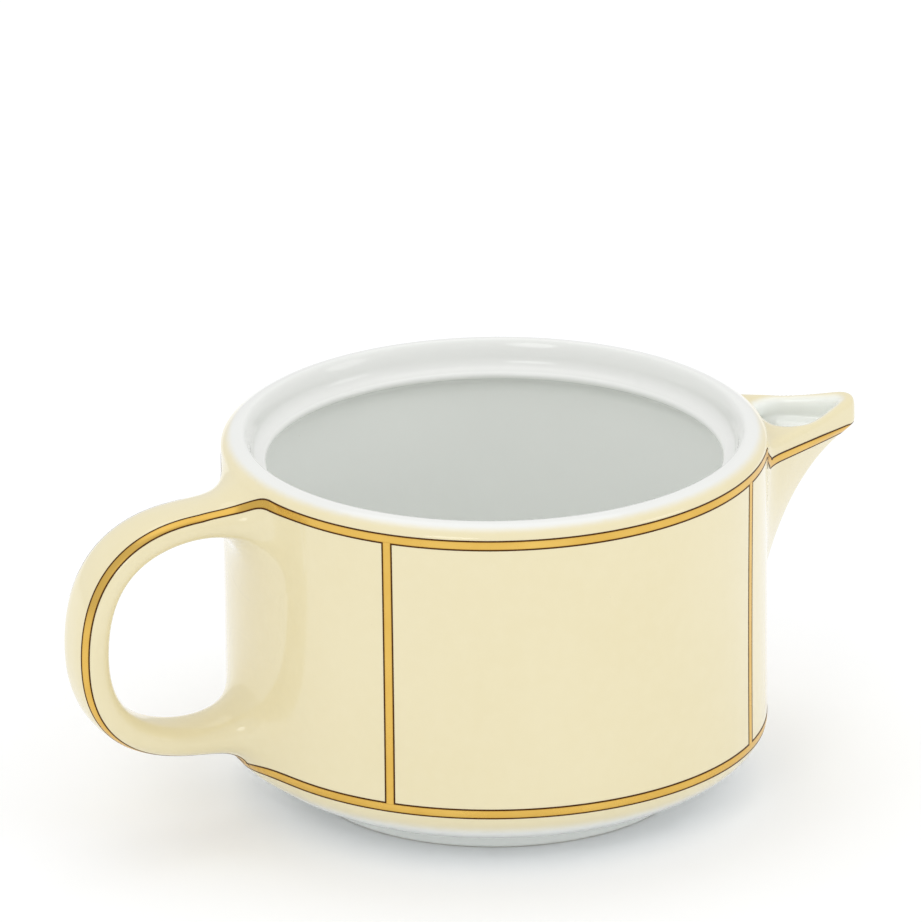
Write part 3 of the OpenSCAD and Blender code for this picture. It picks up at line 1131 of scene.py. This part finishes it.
def film_tree() -> bpy.types.NodeTree:
    """Builds the tree that thickens a guide strip and copies it round the axis.

    Returns:
        The tree, whose inputs are Proud, Sunk, Copies, Turn and Material.
    """
    group = bpy.data.node_groups.new("fired_film", "GeometryNodeTree")
    face = group.interface
    face.new_socket("Geometry", in_out="INPUT", socket_type="NodeSocketGeometry")
    for name, kind in (("Proud", "NodeSocketFloat"), ("Sunk", "NodeSocketFloat"),
                       ("Copies", "NodeSocketInt"), ("Turn", "NodeSocketFloat"),
                       ("Material", "NodeSocketMaterial")):
        face.new_socket(name, in_out="INPUT", socket_type=kind)
    face.new_socket("Geometry", in_out="OUTPUT", socket_type="NodeSocketGeometry")
    t = Tree(group)
    given = t.add("NodeGroupInput").outputs
    normal = t.add("GeometryNodeInputNamedAttribute", {"data_type": "FLOAT_VECTOR"},
                   Name="skin_normal").outputs[0]
    across = t.add("GeometryNodeInputNamedAttribute", {"data_type": "FLOAT"},
                   Name="across").outputs[0]
    # The film keeps most of its height and falls off close to its two edges.
    steepness, loss = 4.0, 0.7
    fall = t.math("MULTIPLY", t.math("POWER", t.math("ABSOLUTE", across), steepness), loss)
    height = t.math("MULTIPLY", given["Proud"], t.math("SUBTRACT", 1.0, fall))
    down = t.vector("SCALE", normal, t.math("MULTIPLY", given["Sunk"], -1.0))
    low = t.add("GeometryNodeSetPosition", Geometry=given["Geometry"], Offset=down).outputs[0]
    lift = t.vector("SCALE", normal, t.math("ADD", given["Sunk"], height))
    extrude = t.add("GeometryNodeExtrudeMesh", {"mode": "FACES"}, Mesh=low, Offset=lift)
    extrude.inputs["Individual"].default_value = False
    extrude.inputs["Offset Scale"].default_value = 1.0
    back = t.add("GeometryNodeFlipFaces", Mesh=low).outputs[0]
    both = t.add("GeometryNodeJoinGeometry")
    for piece in (extrude.outputs[0], back):
        group.links.new(piece, both.inputs[0])
    closed = t.add("GeometryNodeMergeByDistance", Geometry=both.outputs[0])
    closed.inputs["Distance"].default_value = 1e-7
    spots = t.add("GeometryNodeMeshLine", {"mode": "OFFSET"}, Count=given["Copies"])
    spots.inputs["Offset"].default_value = (0, 0, 0)
    index = t.add("GeometryNodeInputIndex").outputs[0]
    angle = t.math("MULTIPLY", index, given["Turn"])
    turn = t.add("ShaderNodeCombineXYZ", Z=angle).outputs[0]
    copies = t.add("GeometryNodeInstanceOnPoints", Points=spots.outputs[0],
                   Instance=closed.outputs[0], Rotation=turn)
    real = t.add("GeometryNodeRealizeInstances", Geometry=copies.outputs[0])
    painted = t.add("GeometryNodeSetMaterial", Geometry=real.outputs[0],
                    Material=given["Material"])
    t.add("NodeGroupOutput", Geometry=painted.outputs[0])
    return group


def run_tree(name: str, data: bpy.types.Mesh, group: bpy.types.NodeTree,
             **inputs: object) -> bpy.types.Object:
    """Runs a tree on a mesh and keeps the plain result.

    Args:
        name: The new object's name.
        data: The mesh the tree starts from.
        group: The tree.
        inputs: The tree's inputs by name.

    Returns:
        The object with its finished mesh.
    """
    guide = add_object(name + "_guide", data)
    modifier = guide.modifiers.new("film", "NODES")
    modifier.node_group = group
    for item in group.interface.items_tree:
        if item.in_out == "INPUT" and item.name in inputs:
            modifier[item.identifier] = inputs[item.name]
    bpy.context.view_layer.update()
    graph = bpy.context.evaluated_depsgraph_get()
    finished = bpy.data.meshes.new_from_object(guide.evaluated_get(graph), depsgraph=graph)
    guide.modifiers.remove(modifier)
    bpy.data.objects.remove(guide)
    finished.shade_smooth()
    finished.set_sharp_from_angle(angle=math.radians(35))
    finished.name = name
    return add_object(name, finished)


# ---------------------------------------------------------------- finishes


def linear(color: tuple[int, int, int]) -> tuple[float, float, float, float]:
    """Turns a display colour of 0 to 255 into the linear one a shader takes."""
    values = [c / 255 for c in color]
    return (*[v / 12.92 if v <= 0.04045 else ((v + 0.055) / 1.055)**2.4 for v in values], 1.0)


class Finish:
    """What every finish shares: a material with its node tree and its noises."""

    def __init__(self, name: str) -> None:
        """Starts the material.

        Args:
            name: The material's name.
        """
        self.material = bpy.data.materials.new(name)
        self.material.use_nodes = True
        self.tree = Tree(self.material.node_tree)
        self.shader = self.material.node_tree.nodes["Principled BSDF"]
        self.place = self.tree.add("ShaderNodeTexCoord").outputs["Object"]

    def noise(self, per_metre: float, detail: float = 2.0, stretch: tuple = (1, 1, 1)
              ) -> bpy.types.NodeSocket:
        """Adds a noise on the object's own coordinates.

        Args:
            per_metre: How many cells the noise has in a metre.
            detail: How many finer layers it has.
            stretch: Scale along each axis.

        Returns:
            The noise's value.
        """
        spot = self.tree.add("ShaderNodeMapping", Vector=self.place, Scale=stretch).outputs[0]
        return self.tree.add("ShaderNodeTexNoise", Vector=spot, Scale=per_metre,
                             Detail=detail).outputs[0]

    def spread(self, value: object, low: float, high: float) -> bpy.types.NodeSocket:
        """Maps 0 to 1 on to a range."""
        return self.tree.add("ShaderNodeMapRange", Value=value, To_Min=low,
                             To_Max=high).outputs[0]

    def mix(self, share: object, a: object, b: object) -> bpy.types.NodeSocket:
        """Mixes two colours."""
        node = self.tree.add("ShaderNodeMix", {"data_type": "RGBA"}, i0=share, i6=a, i7=b)
        return node.outputs[2]

    def attribute(self, name: str) -> bpy.types.NodeSocket:
        """Reads one of the piece's own attributes."""
        node = self.tree.add("ShaderNodeAttribute", {"attribute_name": name})
        return node.outputs["Fac"]

    def give(self, **inputs: object) -> None:
        """Sets or links the shader's inputs."""
        for name, value in inputs.items():
            self.tree.feed(self.shader.inputs[name.replace("_", " ")], value)

    def bumps(self, *layers: tuple) -> None:
        """Adds bump layers.

        Args:
            layers: Height and depth in metres of each layer.
        """
        below = {}
        for height, depth in layers:
            node = self.tree.add("ShaderNodeBump", Height=height, Distance=depth, **below)
            below = {"Normal": node.outputs[0]}
        self.give(**below)


@dataclass(frozen=True)
class Glaze:
    """Glossy porcelain: white glaze with the cream ground laid over part of it, and a lighter white
    painted on as painted light where shade falls.
    """

    name: str = "porcelain_glaze"
    white: tuple = (233, 234, 231)
    cream: tuple = (232, 222, 186)
    # The next colour is painted light: a white lighter than the glaze, painted where shade falls
    # inside the pot, in the beak's hollow and low on the foot shoulder.
    painted_light: tuple = (247, 250, 246)
    bare: tuple = (226, 221, 208)
    speck: tuple = (188, 176, 140)
    deeper_by: tuple = (5, 7, 13)

    def make(self) -> bpy.types.Material:
        """Builds the material.

        Returns:
            The material, which reads the attributes ground, painted_light and bare; painted_light
            marks where a lighter white is painted on to lift the shade.
        """
        f = Finish(self.name)
        cloud, fine = f.noise(34.0, 3.0), f.noise(420.0, 2.0)
        ragged = f.tree.math("MULTIPLY", f.tree.math("SUBTRACT", f.noise(700.0, 2.0), 0.5), 0.35)
        ground = f.attribute("ground")
        edge = f.tree.math("MULTIPLY", ragged, f.tree.math(
            "MULTIPLY", ground, f.tree.math("SUBTRACT", 1.0, ground)))
        ground = f.tree.math("ADD", ground, f.tree.math("MULTIPLY", edge, 4.0))
        white = f.mix(cloud, linear(self.white), linear(tuple(c - 5 for c in self.white)))
        # Painted light: the white is mixed towards a lighter white where the mesh's attribute asks for
        # it, to lift the shade in hollows and low down.
        white = f.mix(f.attribute("painted_light"), white, linear(self.painted_light))
        deep = tuple(c - d for c, d in zip(self.cream, self.deeper_by))
        cream = f.mix(cloud, linear(self.cream), linear(deep))
        cream = f.mix(f.spread(fine, -0.35, 0.55), cream, linear(self.cream))
        color = f.mix(ground, white, cream)
        speck = f.tree.add("ShaderNodeTexVoronoi", Vector=f.place, Scale=150.0).outputs[0]
        speck = f.tree.math("LESS_THAN", speck, 0.012)
        color = f.mix(f.tree.math("MULTIPLY", speck, 0.35), color, linear(self.speck))
        bare = f.attribute("bare")
        color = f.mix(bare, color, linear(self.bare))
        rough = f.spread(f.noise(60.0, 2.0), 0.06, 0.13)
        rough = f.tree.math("ADD", rough, f.tree.math("MULTIPLY", bare, 0.6))
        f.give(Base_Color=color, Roughness=rough, IOR=1.5, Coat_Weight=0.35,
               Coat_Roughness=0.03, Coat_IOR=1.5)
        f.bumps((f.noise(55.0, 2.0), 0.00012), (f.noise(260.0, 2.0), 0.000012),
                (f.tree.math("MULTIPLY", bare, f.noise(2600.0, 3.0)), 0.00006))
        return f.material


@dataclass(frozen=True)
class Gilding:
    """Fired gold: burnished, a little thin towards its edges."""

    name: str = "fired_gold"
    gold: tuple = (238, 199, 108)
    deep: tuple = (218, 172, 76)
    thin: tuple = (150, 98, 30)

    def make(self) -> bpy.types.Material:
        """Builds the material.

        Returns:
            The material, which reads the attribute across.
        """
        f = Finish(self.name)
        cloud, grain = f.noise(120.0, 3.0), f.noise(1800.0, 3.0)
        color = f.mix(cloud, linear(self.gold), linear(self.deep))
        thin = f.tree.math("POWER", f.tree.math("ABSOLUTE", f.attribute("across")), 6.0)
        thin = f.tree.math("MULTIPLY", thin, f.spread(grain, 0.1, 0.7))
        color = f.mix(thin, color, linear(self.thin))
        f.give(Base_Color=color, Metallic=1.0,
               Roughness=f.spread(f.noise(300.0, 3.0), 0.2, 0.38))
        f.bumps((f.noise(90.0, 2.0), 0.00008), (grain, 0.000006))
        return f.material


@dataclass(frozen=True)
class Enamel:
    """Dark brown enamel line, slightly uneven in depth."""

    name: str = "brown_enamel"
    brown: tuple = (62, 33, 4)
    light: tuple = (92, 54, 12)

    def make(self) -> bpy.types.Material:
        """Builds the material.

        Returns:
            The material.
        """
        f = Finish(self.name)
        color = f.mix(f.spread(f.noise(500.0, 3.0), -0.3, 1.0), linear(self.brown),
                      linear(self.light))
        f.give(Base_Color=color, Roughness=f.spread(f.noise(200.0, 2.0), 0.35, 0.5),
               IOR=1.5, Specular_IOR_Level=0.1)
        f.bumps((f.noise(1500.0, 2.0), 0.00001))
        return f.material


@dataclass(frozen=True)
class Paper:
    """The pale floor."""

    name: str = "studio_paper"
    tone: tuple = (0.955, 0.965, 0.985, 1.0)
    other: tuple = (0.945, 0.955, 0.975, 1.0)

    def make(self) -> bpy.types.Material:
        """Builds the material.

        Returns:
            The material.
        """
        f = Finish(self.name)
        color = f.mix(f.noise(3.0, 2.0), self.tone, self.other)
        f.give(Base_Color=color, Roughness=0.9, Specular_IOR_Level=0.0)
        return f.material


# ---------------------------------------------------------------- the decoration


@dataclass
class Decoration:
    """The gilt lines and their dark edges, laid along routes on the jug's skin."""

    pot: Pot
    handle: Handle
    beak: Beak
    width: float = 1.9
    key: float = 0.28
    proud: float = 0.045
    sunk: float = 0.03
    foot_band_top: float = 12.6
    panel_angle: float = 43.7
    beak_line_drop: float = 2.5
    beak_line_fall: float = 1.0
    pitch: float = 0.55
    rim_from: float = 192.0
    rim_from_back: float = 218.0
    rim_to: float = 330.5
    foot_from: float = 182.9
    loop_ends: tuple = (18.5, 17.0)
    low_pulls: tuple = ((0.4, 2.3, 0.6), (3.5, 2.4, -0.2))
    front_pulls: tuple = ((4.5, 4.7, 1.3), (0.2, 6.4, 0.0))
    back_pulls: tuple = ((5.0, 6.2, 0.2), (-3.6, 18.5, -3.0))
    valley_in: float = 2.3

    def __post_init__(self) -> None:
        """Works out the lines' heights."""
        self.gold = self.width - 2 * self.key
        self.rim_line = self.pot.rim_z - self.width / 2
        self.foot_line = self.foot_band_top - self.width / 2

    def skin(self, p: Array) -> Array:
        """Distance to the whole outside: pot, handle and beak run together.

        Args:
            p: Points, one per row.

        Returns:
            The distance of each point.
        """
        pot = self.pot.distance(p)
        out = pot.copy()
        for part, whole, near in ((self.handle, self.handle.distance, p[:, 0] < -30),
                                  (self.beak, self.beak.outer, p[:, 0] > 30)):
            if near.any():
                q = p[near]
                out[near] = smooth_min(whole(q), pot[near], part.fillet_at(q))
        return out

    def even(self, path: Array, ring: bool) -> Array:
        """Spaces a route evenly and sets it on the skin.

        Args:
            path: The route's points.
            ring: Whether the route closes on itself.

        Returns:
            The spaced points.
        """
        if ring:
            path = np.vstack([path, path[:1]])
        along = lengths_along(path)
        count = max(3, round(along[-1] / self.pitch) + 1)
        s = np.linspace(0, along[-1], count)
        spaced = np.stack([np.interp(s, along, path[:, i]) for i in range(3)], 1)
        if ring:
            spaced = spaced[:-1]
        return settle(self.skin, spaced, 3)

    def strip(self, path: Array, middle: float, width: float, ring: bool,
              columns: int) -> Shell:
        """Lays a guide strip beside a route.

        Args:
            path: The route.
            middle: How far to the route's left the strip's middle lies.
            width: The strip's width.
            ring: Whether the route closes on itself.
            columns: How many points lie across the strip.

        Returns:
            The strip, one layer thick, with the skin's normals.
        """
        line = self.even(path, ring)
        if ring:
            ahead = unit(np.roll(line, -1, 0) - np.roll(line, 1, 0))
        else:
            ahead = unit(np.gradient(line, axis=0))
        left = unit(np.cross(unit(slope_of(self.skin, line)), ahead))
        spots = [line + left * (middle + width * c) for c in np.linspace(-0.5, 0.5, columns)]
        points = settle(self.skin, np.stack(spots, 1).reshape(-1, 3), 2)
        n = len(line)
        faces = []
        for i in range(n if ring else n - 1):
            a, b = i * columns, ((i + 1) % n) * columns
            for c in range(columns - 1):
                faces.append([a + c, b + c, b + c + 1, a + c + 1])
        return Shell(points, faces, unit(slope_of(self.skin, points)))

    def piece(self, name: str, strips: list[Shell], tree: bpy.types.NodeTree,
              material: bpy.types.Material, slot: Slot, columns: int, copies: int = 1,
              turn: float = 0.0) -> None:
        """Fires strips on to the jug as one piece.

        Args:
            name: The CAD node the piece stands for.
            strips: The guide strips.
            tree: The film tree.
            material: The finish.
            slot: The record's slot.
            columns: How many points lie across each strip.
            copies: How many copies lie round the axis.
            turn: Angle between copies in radians.
        """
        whole = strips[0]
        for other in strips[1:]:
            whole = whole.plus(other)
        data = bpy.data.meshes.new(name + "_guide")
        data.from_pydata((whole.points * MM).tolist(), [], whole.faces)
        store(data, "across", np.tile(np.linspace(-1, 1, columns), len(whole.points) // columns))
        store(data, "skin_normal", whole.normals)
        made = run_tree(name, data, tree, Proud=self.proud * MM, Sunk=self.sunk * MM,
                        Copies=copies, Turn=turn, Material=material)
        ride(made, slot, name)

    def rim_arc(self, start: float, end: float, z: float, count: int = 300) -> Array:
        """A level route on the pot's side.

        Args:
            start: First angle in degrees.
            end: Last angle in degrees.
            z: Height.
            count: How many points.

        Returns:
            The route.
        """
        a = np.radians(np.linspace(start, end, count))
        r = self.pot.rise(np.array([z]))[0]
        return np.column_stack([r * np.cos(a), r * np.sin(a), np.full(count, z)])

    def pulls(self, side: Side, offsets: tuple, heights: tuple) -> list[list[float]]:
        """Control points by the handle, each beyond the pot's side, across the jug and up.

        Args:
            side: Which long side.
            offsets: How far out, across and up each point lies.
            heights: The height that each point goes up from.

        Returns:
            The control points.
        """
        return [[-(self.pot.radius + out), side.value * across, z + up]
                for (out, across, up), z in zip(offsets, heights)]

    def rim_start(self, side: Side) -> float:
        """Angle in degrees where the handle's line reaches the rim band."""
        return self.rim_from if side is Side.FRONT else self.rim_from_back

    def handle_route(self, side: Side) -> Array:
        """Routes a line from the foot band round the handle's outer corner to the rim band.

        Args:
            side: Which long side.

        Returns:
            The route.
        """
        mirror = [1, -side.value, 1]
        after, before = self.loop_ends
        places = np.linspace(self.handle.length - before, after, 260)
        corner = np.array([self.handle.line_start(side, s) for s in places])
        begin = self.rim_arc(self.foot_from, self.foot_from, self.foot_line, 1)[0] * mirror
        start = self.rim_start(side)
        end = self.rim_arc(start, start, self.rim_line, 1)[0] * mirror
        top_pulls = self.front_pulls if side is Side.FRONT else self.back_pulls
        low = curve([begin, *self.pulls(side, self.low_pulls, (self.foot_line, corner[0][2])),
                     corner[0]], 40)
        top = curve([corner[-1], *self.pulls(side, top_pulls, (corner[-1][2], self.rim_line)),
                     end], 60)
        return np.vstack([low[:-1], corner, top[1:]])

    def rim_route(self, side: Side) -> Array:
        """Routes the rim band from the handle's line to the valley beside the beak.

        Args:
            side: Which long side.

        Returns:
            The route.
        """
        level = self.rim_arc(self.rim_start(side), self.rim_to, self.rim_line, 260)
        if side is Side.BACK:
            level = level * [1, -1, 1]
        valley = self.beak_line(side)[0]
        a, b = math.radians(360 - self.rim_to), abs(math.atan2(valley[1], valley[0]))
        share = np.linspace(0, 1, 50)[1:]
        turns = a + (b - a) * share
        z = self.rim_line + (valley[2] - self.rim_line) * share**1.6
        r = self.pot.radius + (math.hypot(valley[0], valley[1]) - self.pot.radius) * share**2
        slope = np.column_stack([r * np.cos(turns), side.value * r * np.sin(turns), z])
        return np.vstack([level, slope])

    def beak_line(self, side: Side) -> Array:
        """Routes the line from the valley along one flank of the beak to its nose.

        Args:
            side: Which long side.

        Returns:
            The route.
        """
        b = self.beak
        x = np.linspace(self.pot.radius - self.valley_in, b.tip_x + 0.2, 200)
        fall = self.beak_line_fall * np.linspace(-0.5, 0.5, len(x))
        z = b.crest_z - self.beak_line_drop - self.width / 2 - fall
        y = np.empty_like(x)
        tries = np.linspace(0, 24, 400)
        for i in range(len(x)):
            p = np.column_stack([np.full(400, x[i]), tries, np.full(400, z[i])])
            inside = b.sides(p) < 0
            y[i] = tries[inside].max() if inside.any() else 0.0
        keep = y > 0.02
        x, y, z = x[keep], y[keep], z[keep]
        x, y, z = np.append(x, x[-1] + 0.02), np.append(y, 0.0), np.append(z, z[-1])
        return np.column_stack([x, side.value * y, z])

    def build(self, tree: bpy.types.NodeTree, gold: bpy.types.Material,
              brown: bpy.types.Material) -> None:
        """Builds every line.

        Args:
            tree: The film tree.
            gold: The gilding.
            brown: The dark enamel.
        """
        half = (self.gold + self.key) / 2
        gap = math.degrees(self.gold / 2 / self.pot.waist_r)

        def gilt(name: str, path: Array, ring: bool = False) -> None:
            """Lays one gold line."""
            strip = self.strip(path, 0, self.gold, ring, GOLD_COLUMNS)
            self.piece(name, [strip], tree, gold, Slot.GOLD, GOLD_COLUMNS)

        def keys(name: str, routes: list, **more: float) -> None:
            """Lays the dark edges of several routes as one piece."""
            strips = [self.strip(path, at, self.key, ring, KEY_COLUMNS)
                      for path, at, ring in routes]
            self.piece(name, strips, tree, brown, Slot.BROWN, KEY_COLUMNS, **more)

        rims = {side: self.rim_route(side) for side in Side}
        loops = {side: self.handle_route(side) for side in Side}
        front, back = self.beak_line(Side.FRONT), self.beak_line(Side.BACK)
        lip = np.vstack([front, back[::-1][1:]])
        foot = self.rim_arc(0, 360, self.foot_line, 721)[:-1]
        gilt("gilt_rim_band_front", rims[Side.FRONT])
        gilt("gilt_rim_band_back", rims[Side.BACK])
        gilt("gilt_foot_band", foot, True)
        gilt("gilt_handle_front", loops[Side.FRONT])
        gilt("gilt_handle_back", loops[Side.BACK])
        gilt("gilt_beak", lip)
        low, high = self.foot_line + self.gold / 2, self.rim_line - self.gold / 2
        panels = {"front_left": 180 + self.panel_angle, "front_right": 360 - self.panel_angle,
                  "back_left": 180 - self.panel_angle, "back_right": self.panel_angle}
        for name, angle in panels.items():
            gilt("gilt_panel_" + name, self.upright(angle, low, high))
        edges = []
        for side, path in rims.items():
            upper = half if side is Side.FRONT else -half
            edges.append((path, upper, False))
            turn = np.degrees(np.arctan2(-side.value * path[:, 1], path[:, 0])) % 360
            # The lower edge stops on both sides of each upright gold line.
            marks = [0.0, panels["front_left"], panels["front_right"], 361.0]
            for a, b in zip(marks[:-1], marks[1:]):
                part = path[(turn > a + gap) & (turn < b - gap)]
                mirror = [1, -side.value, 1]
                if a > marks[0]:
                    tip = self.rim_arc(a + gap, a + gap, self.rim_line, 1) * mirror
                    part = np.vstack([tip, part])
                if b < marks[-1]:
                    tip = self.rim_arc(b - gap, b - gap, self.rim_line, 1) * mirror
                    part = np.vstack([part, tip])
                edges.append((part, -upper, False))
        keys("edges_rim_band", edges)
        edges = [(foot, -half, True)]
        marks = sorted(panels.values())
        for a, b in zip(marks, marks[1:] + [marks[0] + 360]):
            edges.append((self.rim_arc(a + gap, b - gap, self.foot_line, 200), half, False))
        keys("edges_foot_band", edges)
        keys("edges_handle", [(path, s * half, False) for path in loops.values()
                              for s in (-1, 1)])
        keys("edges_beak", [(lip, s * half, False) for s in (-1, 1)])
        low, high = self.foot_line + half, self.rim_line - half
        pair = [(self.upright(s * self.panel_angle, low, high), t * half, False)
                for s in (-1, 1) for t in (-1, 1)]
        keys("edges_panels", pair, copies=2, turn=math.pi)

    def upright(self, angle: float, low: float, high: float) -> Array:
        """Routes a plumb line on the pot's side.

        Args:
            angle: Its angle round the axis in degrees.
            low: Its lowest height.
            high: Its highest height.

        Returns:
            The route.
        """
        z = np.linspace(low, high, 100)
        r, a = self.pot.rise(z), math.radians(angle)
        return np.column_stack([r * math.cos(a), r * math.sin(a), z])


# ---------------------------------------------------------------- dressing and staging


def ride(piece: bpy.types.Object, slot: Slot, *nodes: str) -> None:
    """Fixes a piece to the body and names what it stands for.

    Args:
        piece: The finished piece.
        slot: The record's material slot. Not used.
        nodes: The CAD nodes it replaces.
    """
    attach(piece, BODY)
    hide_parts(*nodes)
    faces = len(piece.data.polygons)
    log.info("%s: %d faces, stands for %s", piece.name, faces, ", ".join(nodes))


@dataclass
class Porcelain:
    """The three glazed pieces."""

    pot: Pot
    handle: Handle
    beak: Beak
    ground_r: float = 40.5
    ground_widens: float = 4.0
    ground_bend: tuple = (6.0, 6.0)
    ground_edge: tuple = (-0.4, 1.2)
    ground_low: tuple = (6.2, 9.2)
    ground_rim: tuple = (60.0, 62.0)
    ground_in_at_rim: float = 0.35
    inside_r: tuple = (43.2, 44.0)
    inside_z: tuple = (4.0, 5.0)
    # The next three set where the painted light goes: a lighter white painted inside the pot below the
    # rim and low on the foot shoulder, to lift the shade there.
    painted_light_share: float = 0.55
    painted_light_top: tuple = (55.5, 59.0)
    foot_painted_light: tuple = (6.0, 10.0)
    beak_white: tuple = (0.2, 1.8)
    bare_r: tuple = (0.5, 0.9)
    bare_z: tuple = (0.05, 0.3)

    def marks(self, data: bpy.types.Mesh, points: Array, shade: Array, painted_light: Array) -> None:
        """Stores where the cream ground, the painted light and the bare foot lie.

        Args:
            data: The mesh.
            points: Its points.
            shade: Share of cream ground at each point.
            painted_light: Share of painted light at each point, a lighter white painted where shade
                falls.
        """
        rho = np.hypot(points[:, 0], points[:, 1])
        ring_r = self.pot.foot_r - self.pot.foot_w
        ring = step_up(rho, ring_r + self.bare_r[0], ring_r + self.bare_r[1])
        bare = (1 - step_up(points[:, 2], *self.bare_z)) * ring
        for name, values in (("ground", shade), ("painted_light", painted_light), ("bare", bare)):
            store(data, name, values)

    def ground(self, p: Array) -> Array:
        """Spreads the cream ground over the outside, from below the foot band to the rim.

        Args:
            p: Points, one per row.

        Returns:
            Share of cream ground at each point.
        """
        rho, z = np.hypot(p[:, 0], p[:, 1]), p[:, 2]
        start, height = self.ground_bend
        least = (self.ground_r + self.ground_widens * np.clip((z - start) / height, 0, 1)
                 + self.ground_in_at_rim * step_up(z, *self.ground_rim))
        return step_up(rho - least, *self.ground_edge) * step_up(z, *self.ground_low)

    def piece(self, name: str, shell: Shell, material: bpy.types.Material, slot: Slot,
              shade: Array, painted_light: Array, nodes: tuple) -> None:
        """Makes one piece.

        Args:
            name: The piece's name.
            shell: Its surface.
            material: The glaze.
            slot: The record's slot.
            shade: Share of cream ground at each point.
            painted_light: Share of painted light at each point, a lighter white painted where shade
                falls.
            nodes: The CAD nodes it stands for.
        """
        data = shell.mesh(name)
        self.marks(data, shell.points, shade, painted_light)
        data.materials.append(material)
        ride(add_object(name, data), slot, *nodes)

    def build(self, material: bpy.types.Material) -> None:
        """Builds the pot, the handle and the beak.

        Args:
            material: The glaze.
        """
        pot = self.pot.shell()
        rho, z = np.hypot(pot.points[:, 0], pot.points[:, 1]), pot.points[:, 2]
        # Painted light: a lighter white is painted inside the pot, fading out below the rim, and on
        # the outside low on the foot shoulder, to lift the shade there.
        inside = (1 - step_up(rho, *self.inside_r)) * step_up(z, *self.inside_z)
        depth = 1 - step_up(z, *self.painted_light_top)
        below = (1 - inside) * (1 - step_up(z, *self.foot_painted_light))
        self.piece("porcelain_pot", pot, material, Slot.WHITE, self.ground(pot.points),
                   inside * depth * self.painted_light_share + below, ("jug_body",))
        handle = self.handle.shell()
        self.piece("porcelain_handle", handle, material, Slot.CREAM,
                   self.ground(handle.points), np.zeros(len(handle.points)),
                   ("handle", "slip_handle_upper", "slip_handle_lower"))
        beak = self.beak.shell()
        # Inside the mouth the cream ground gives way to white, and the same mask paints light into the
        # beak's hollow: a lighter white where shade falls.
        lip = step_up(self.beak.hollow(beak.points), *self.beak_white)
        self.piece("porcelain_beak", beak, material, Slot.CREAM,
                   self.ground(beak.points) * lip, 1 - lip, ("beak", "slip_beak"))


@dataclass
class Studio:
    """The pale floor, the soft lights and the camera."""

    aim: tuple = (0.0, 0.0, 61.6)
    turn: float = -22.95
    tilt: float = 21.3
    roll: float = -0.56
    distance: float = 6960.0
    lens: float = 1600.0
    left: float = 5.65
    below: float = 3.38
    floor_half: float = 6.0
    lights: tuple = (("key", (-1.2, -1.3, 1.3), 0.8, 3.2), ("fill", (1.5, -1.2, 0.8), 0.8, 2.0),
                     ("top", (0.1, 0.5, 1.9), 1.6, 3.0))
    mirrored_loss: float = 0.25

    def floor(self) -> None:
        """Lays the floor."""
        size = self.floor_half
        data = bpy.data.meshes.new("studio_floor")
        data.from_pydata([(-size, -size, 0), (size, -size, 0), (size, size, 0),
                          (-size, size, 0)], [], [(0, 1, 2, 3)])
        data.materials.append(Paper().make())
        add_object("studio_floor", data)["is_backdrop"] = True

    def camera(self) -> None:
        """Sets the camera up."""
        a, e, r = (math.radians(v) for v in (self.turn, self.tilt, self.roll))
        right = Vector((math.cos(a), math.sin(a), 0))
        ahead = Vector((-math.sin(a) * math.cos(e), math.cos(a) * math.cos(e), -math.sin(e)))
        up = right.cross(ahead)
        x = right * math.cos(r) + up * math.sin(r)
        y = up * math.cos(r) - right * math.sin(r)
        target = Vector(self.aim) * MM - x * self.left * MM - y * self.below * MM
        data = bpy.data.cameras.new("camera")
        data.lens, data.sensor_width = self.lens, 36.0
        data.clip_start, data.clip_end = 0.05, 50.0
        made = add_object("camera", data)
        turn = Matrix((x, y, -ahead)).transposed()
        made.matrix_world = Matrix.Translation(target - ahead * self.distance * MM) \
            @ turn.to_4x4()
        bpy.context.scene.camera = made

    def light(self, name: str, place: tuple, size: float, power: float) -> None:
        """Hangs one round soft light that faces the jug.

        Args:
            name: Its name.
            place: Where it hangs, in metres.
            size: How wide it is in metres.
            power: Its power in watts.
        """
        data = bpy.data.lights.new(name, "AREA")
        data.shape, data.size, data.energy = "DISK", size, power
        made = add_object(name, data)
        at = Vector(place)
        made.location = at
        made.rotation_euler = (Vector((0, 0, 0.03)) - at).to_track_quat("-Z", "Y").to_euler()

    def build(self) -> None:
        """Sets the whole studio up."""
        self.floor()
        self.camera()
        world = bpy.data.worlds.new("studio")
        world.use_nodes = True
        back = world.node_tree.nodes["Background"]
        back.inputs["Color"].default_value = (1.0, 1.0, 1.0, 1.0)
        tree = Tree(world.node_tree)
        mirrored = tree.add("ShaderNodeLightPath").outputs["Is Glossy Ray"]
        strength = tree.math("SUBTRACT", 1.0, tree.math("MULTIPLY", mirrored,
                                                             self.mirrored_loss))
        world.node_tree.links.new(strength, back.inputs["Strength"])
        scene = bpy.context.scene
        scene.world = world
        scene.view_settings.view_transform = "Standard"
        for light in self.lights:
            self.light(*light)


def main(cad_box: tuple) -> None:
    """Builds the jug and its studio.

    Args:
        cad_box: Lowest and highest corner of the CAD model. Not used.
    """
    logging.basicConfig(level=logging.INFO, format="%(name)s: %(message)s")
    low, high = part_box("jug_body")
    pot = Pot(radius=high.y / MM, height=high.z / MM)
    handle, beak = Handle(pot), Beak(pot)
    Porcelain(pot, handle, beak).build(Glaze().make())
    Decoration(pot, handle, beak).build(film_tree(), Gilding().make(), Enamel().make())
    Studio().build()


if __name__ == "__main__":
    main(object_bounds())
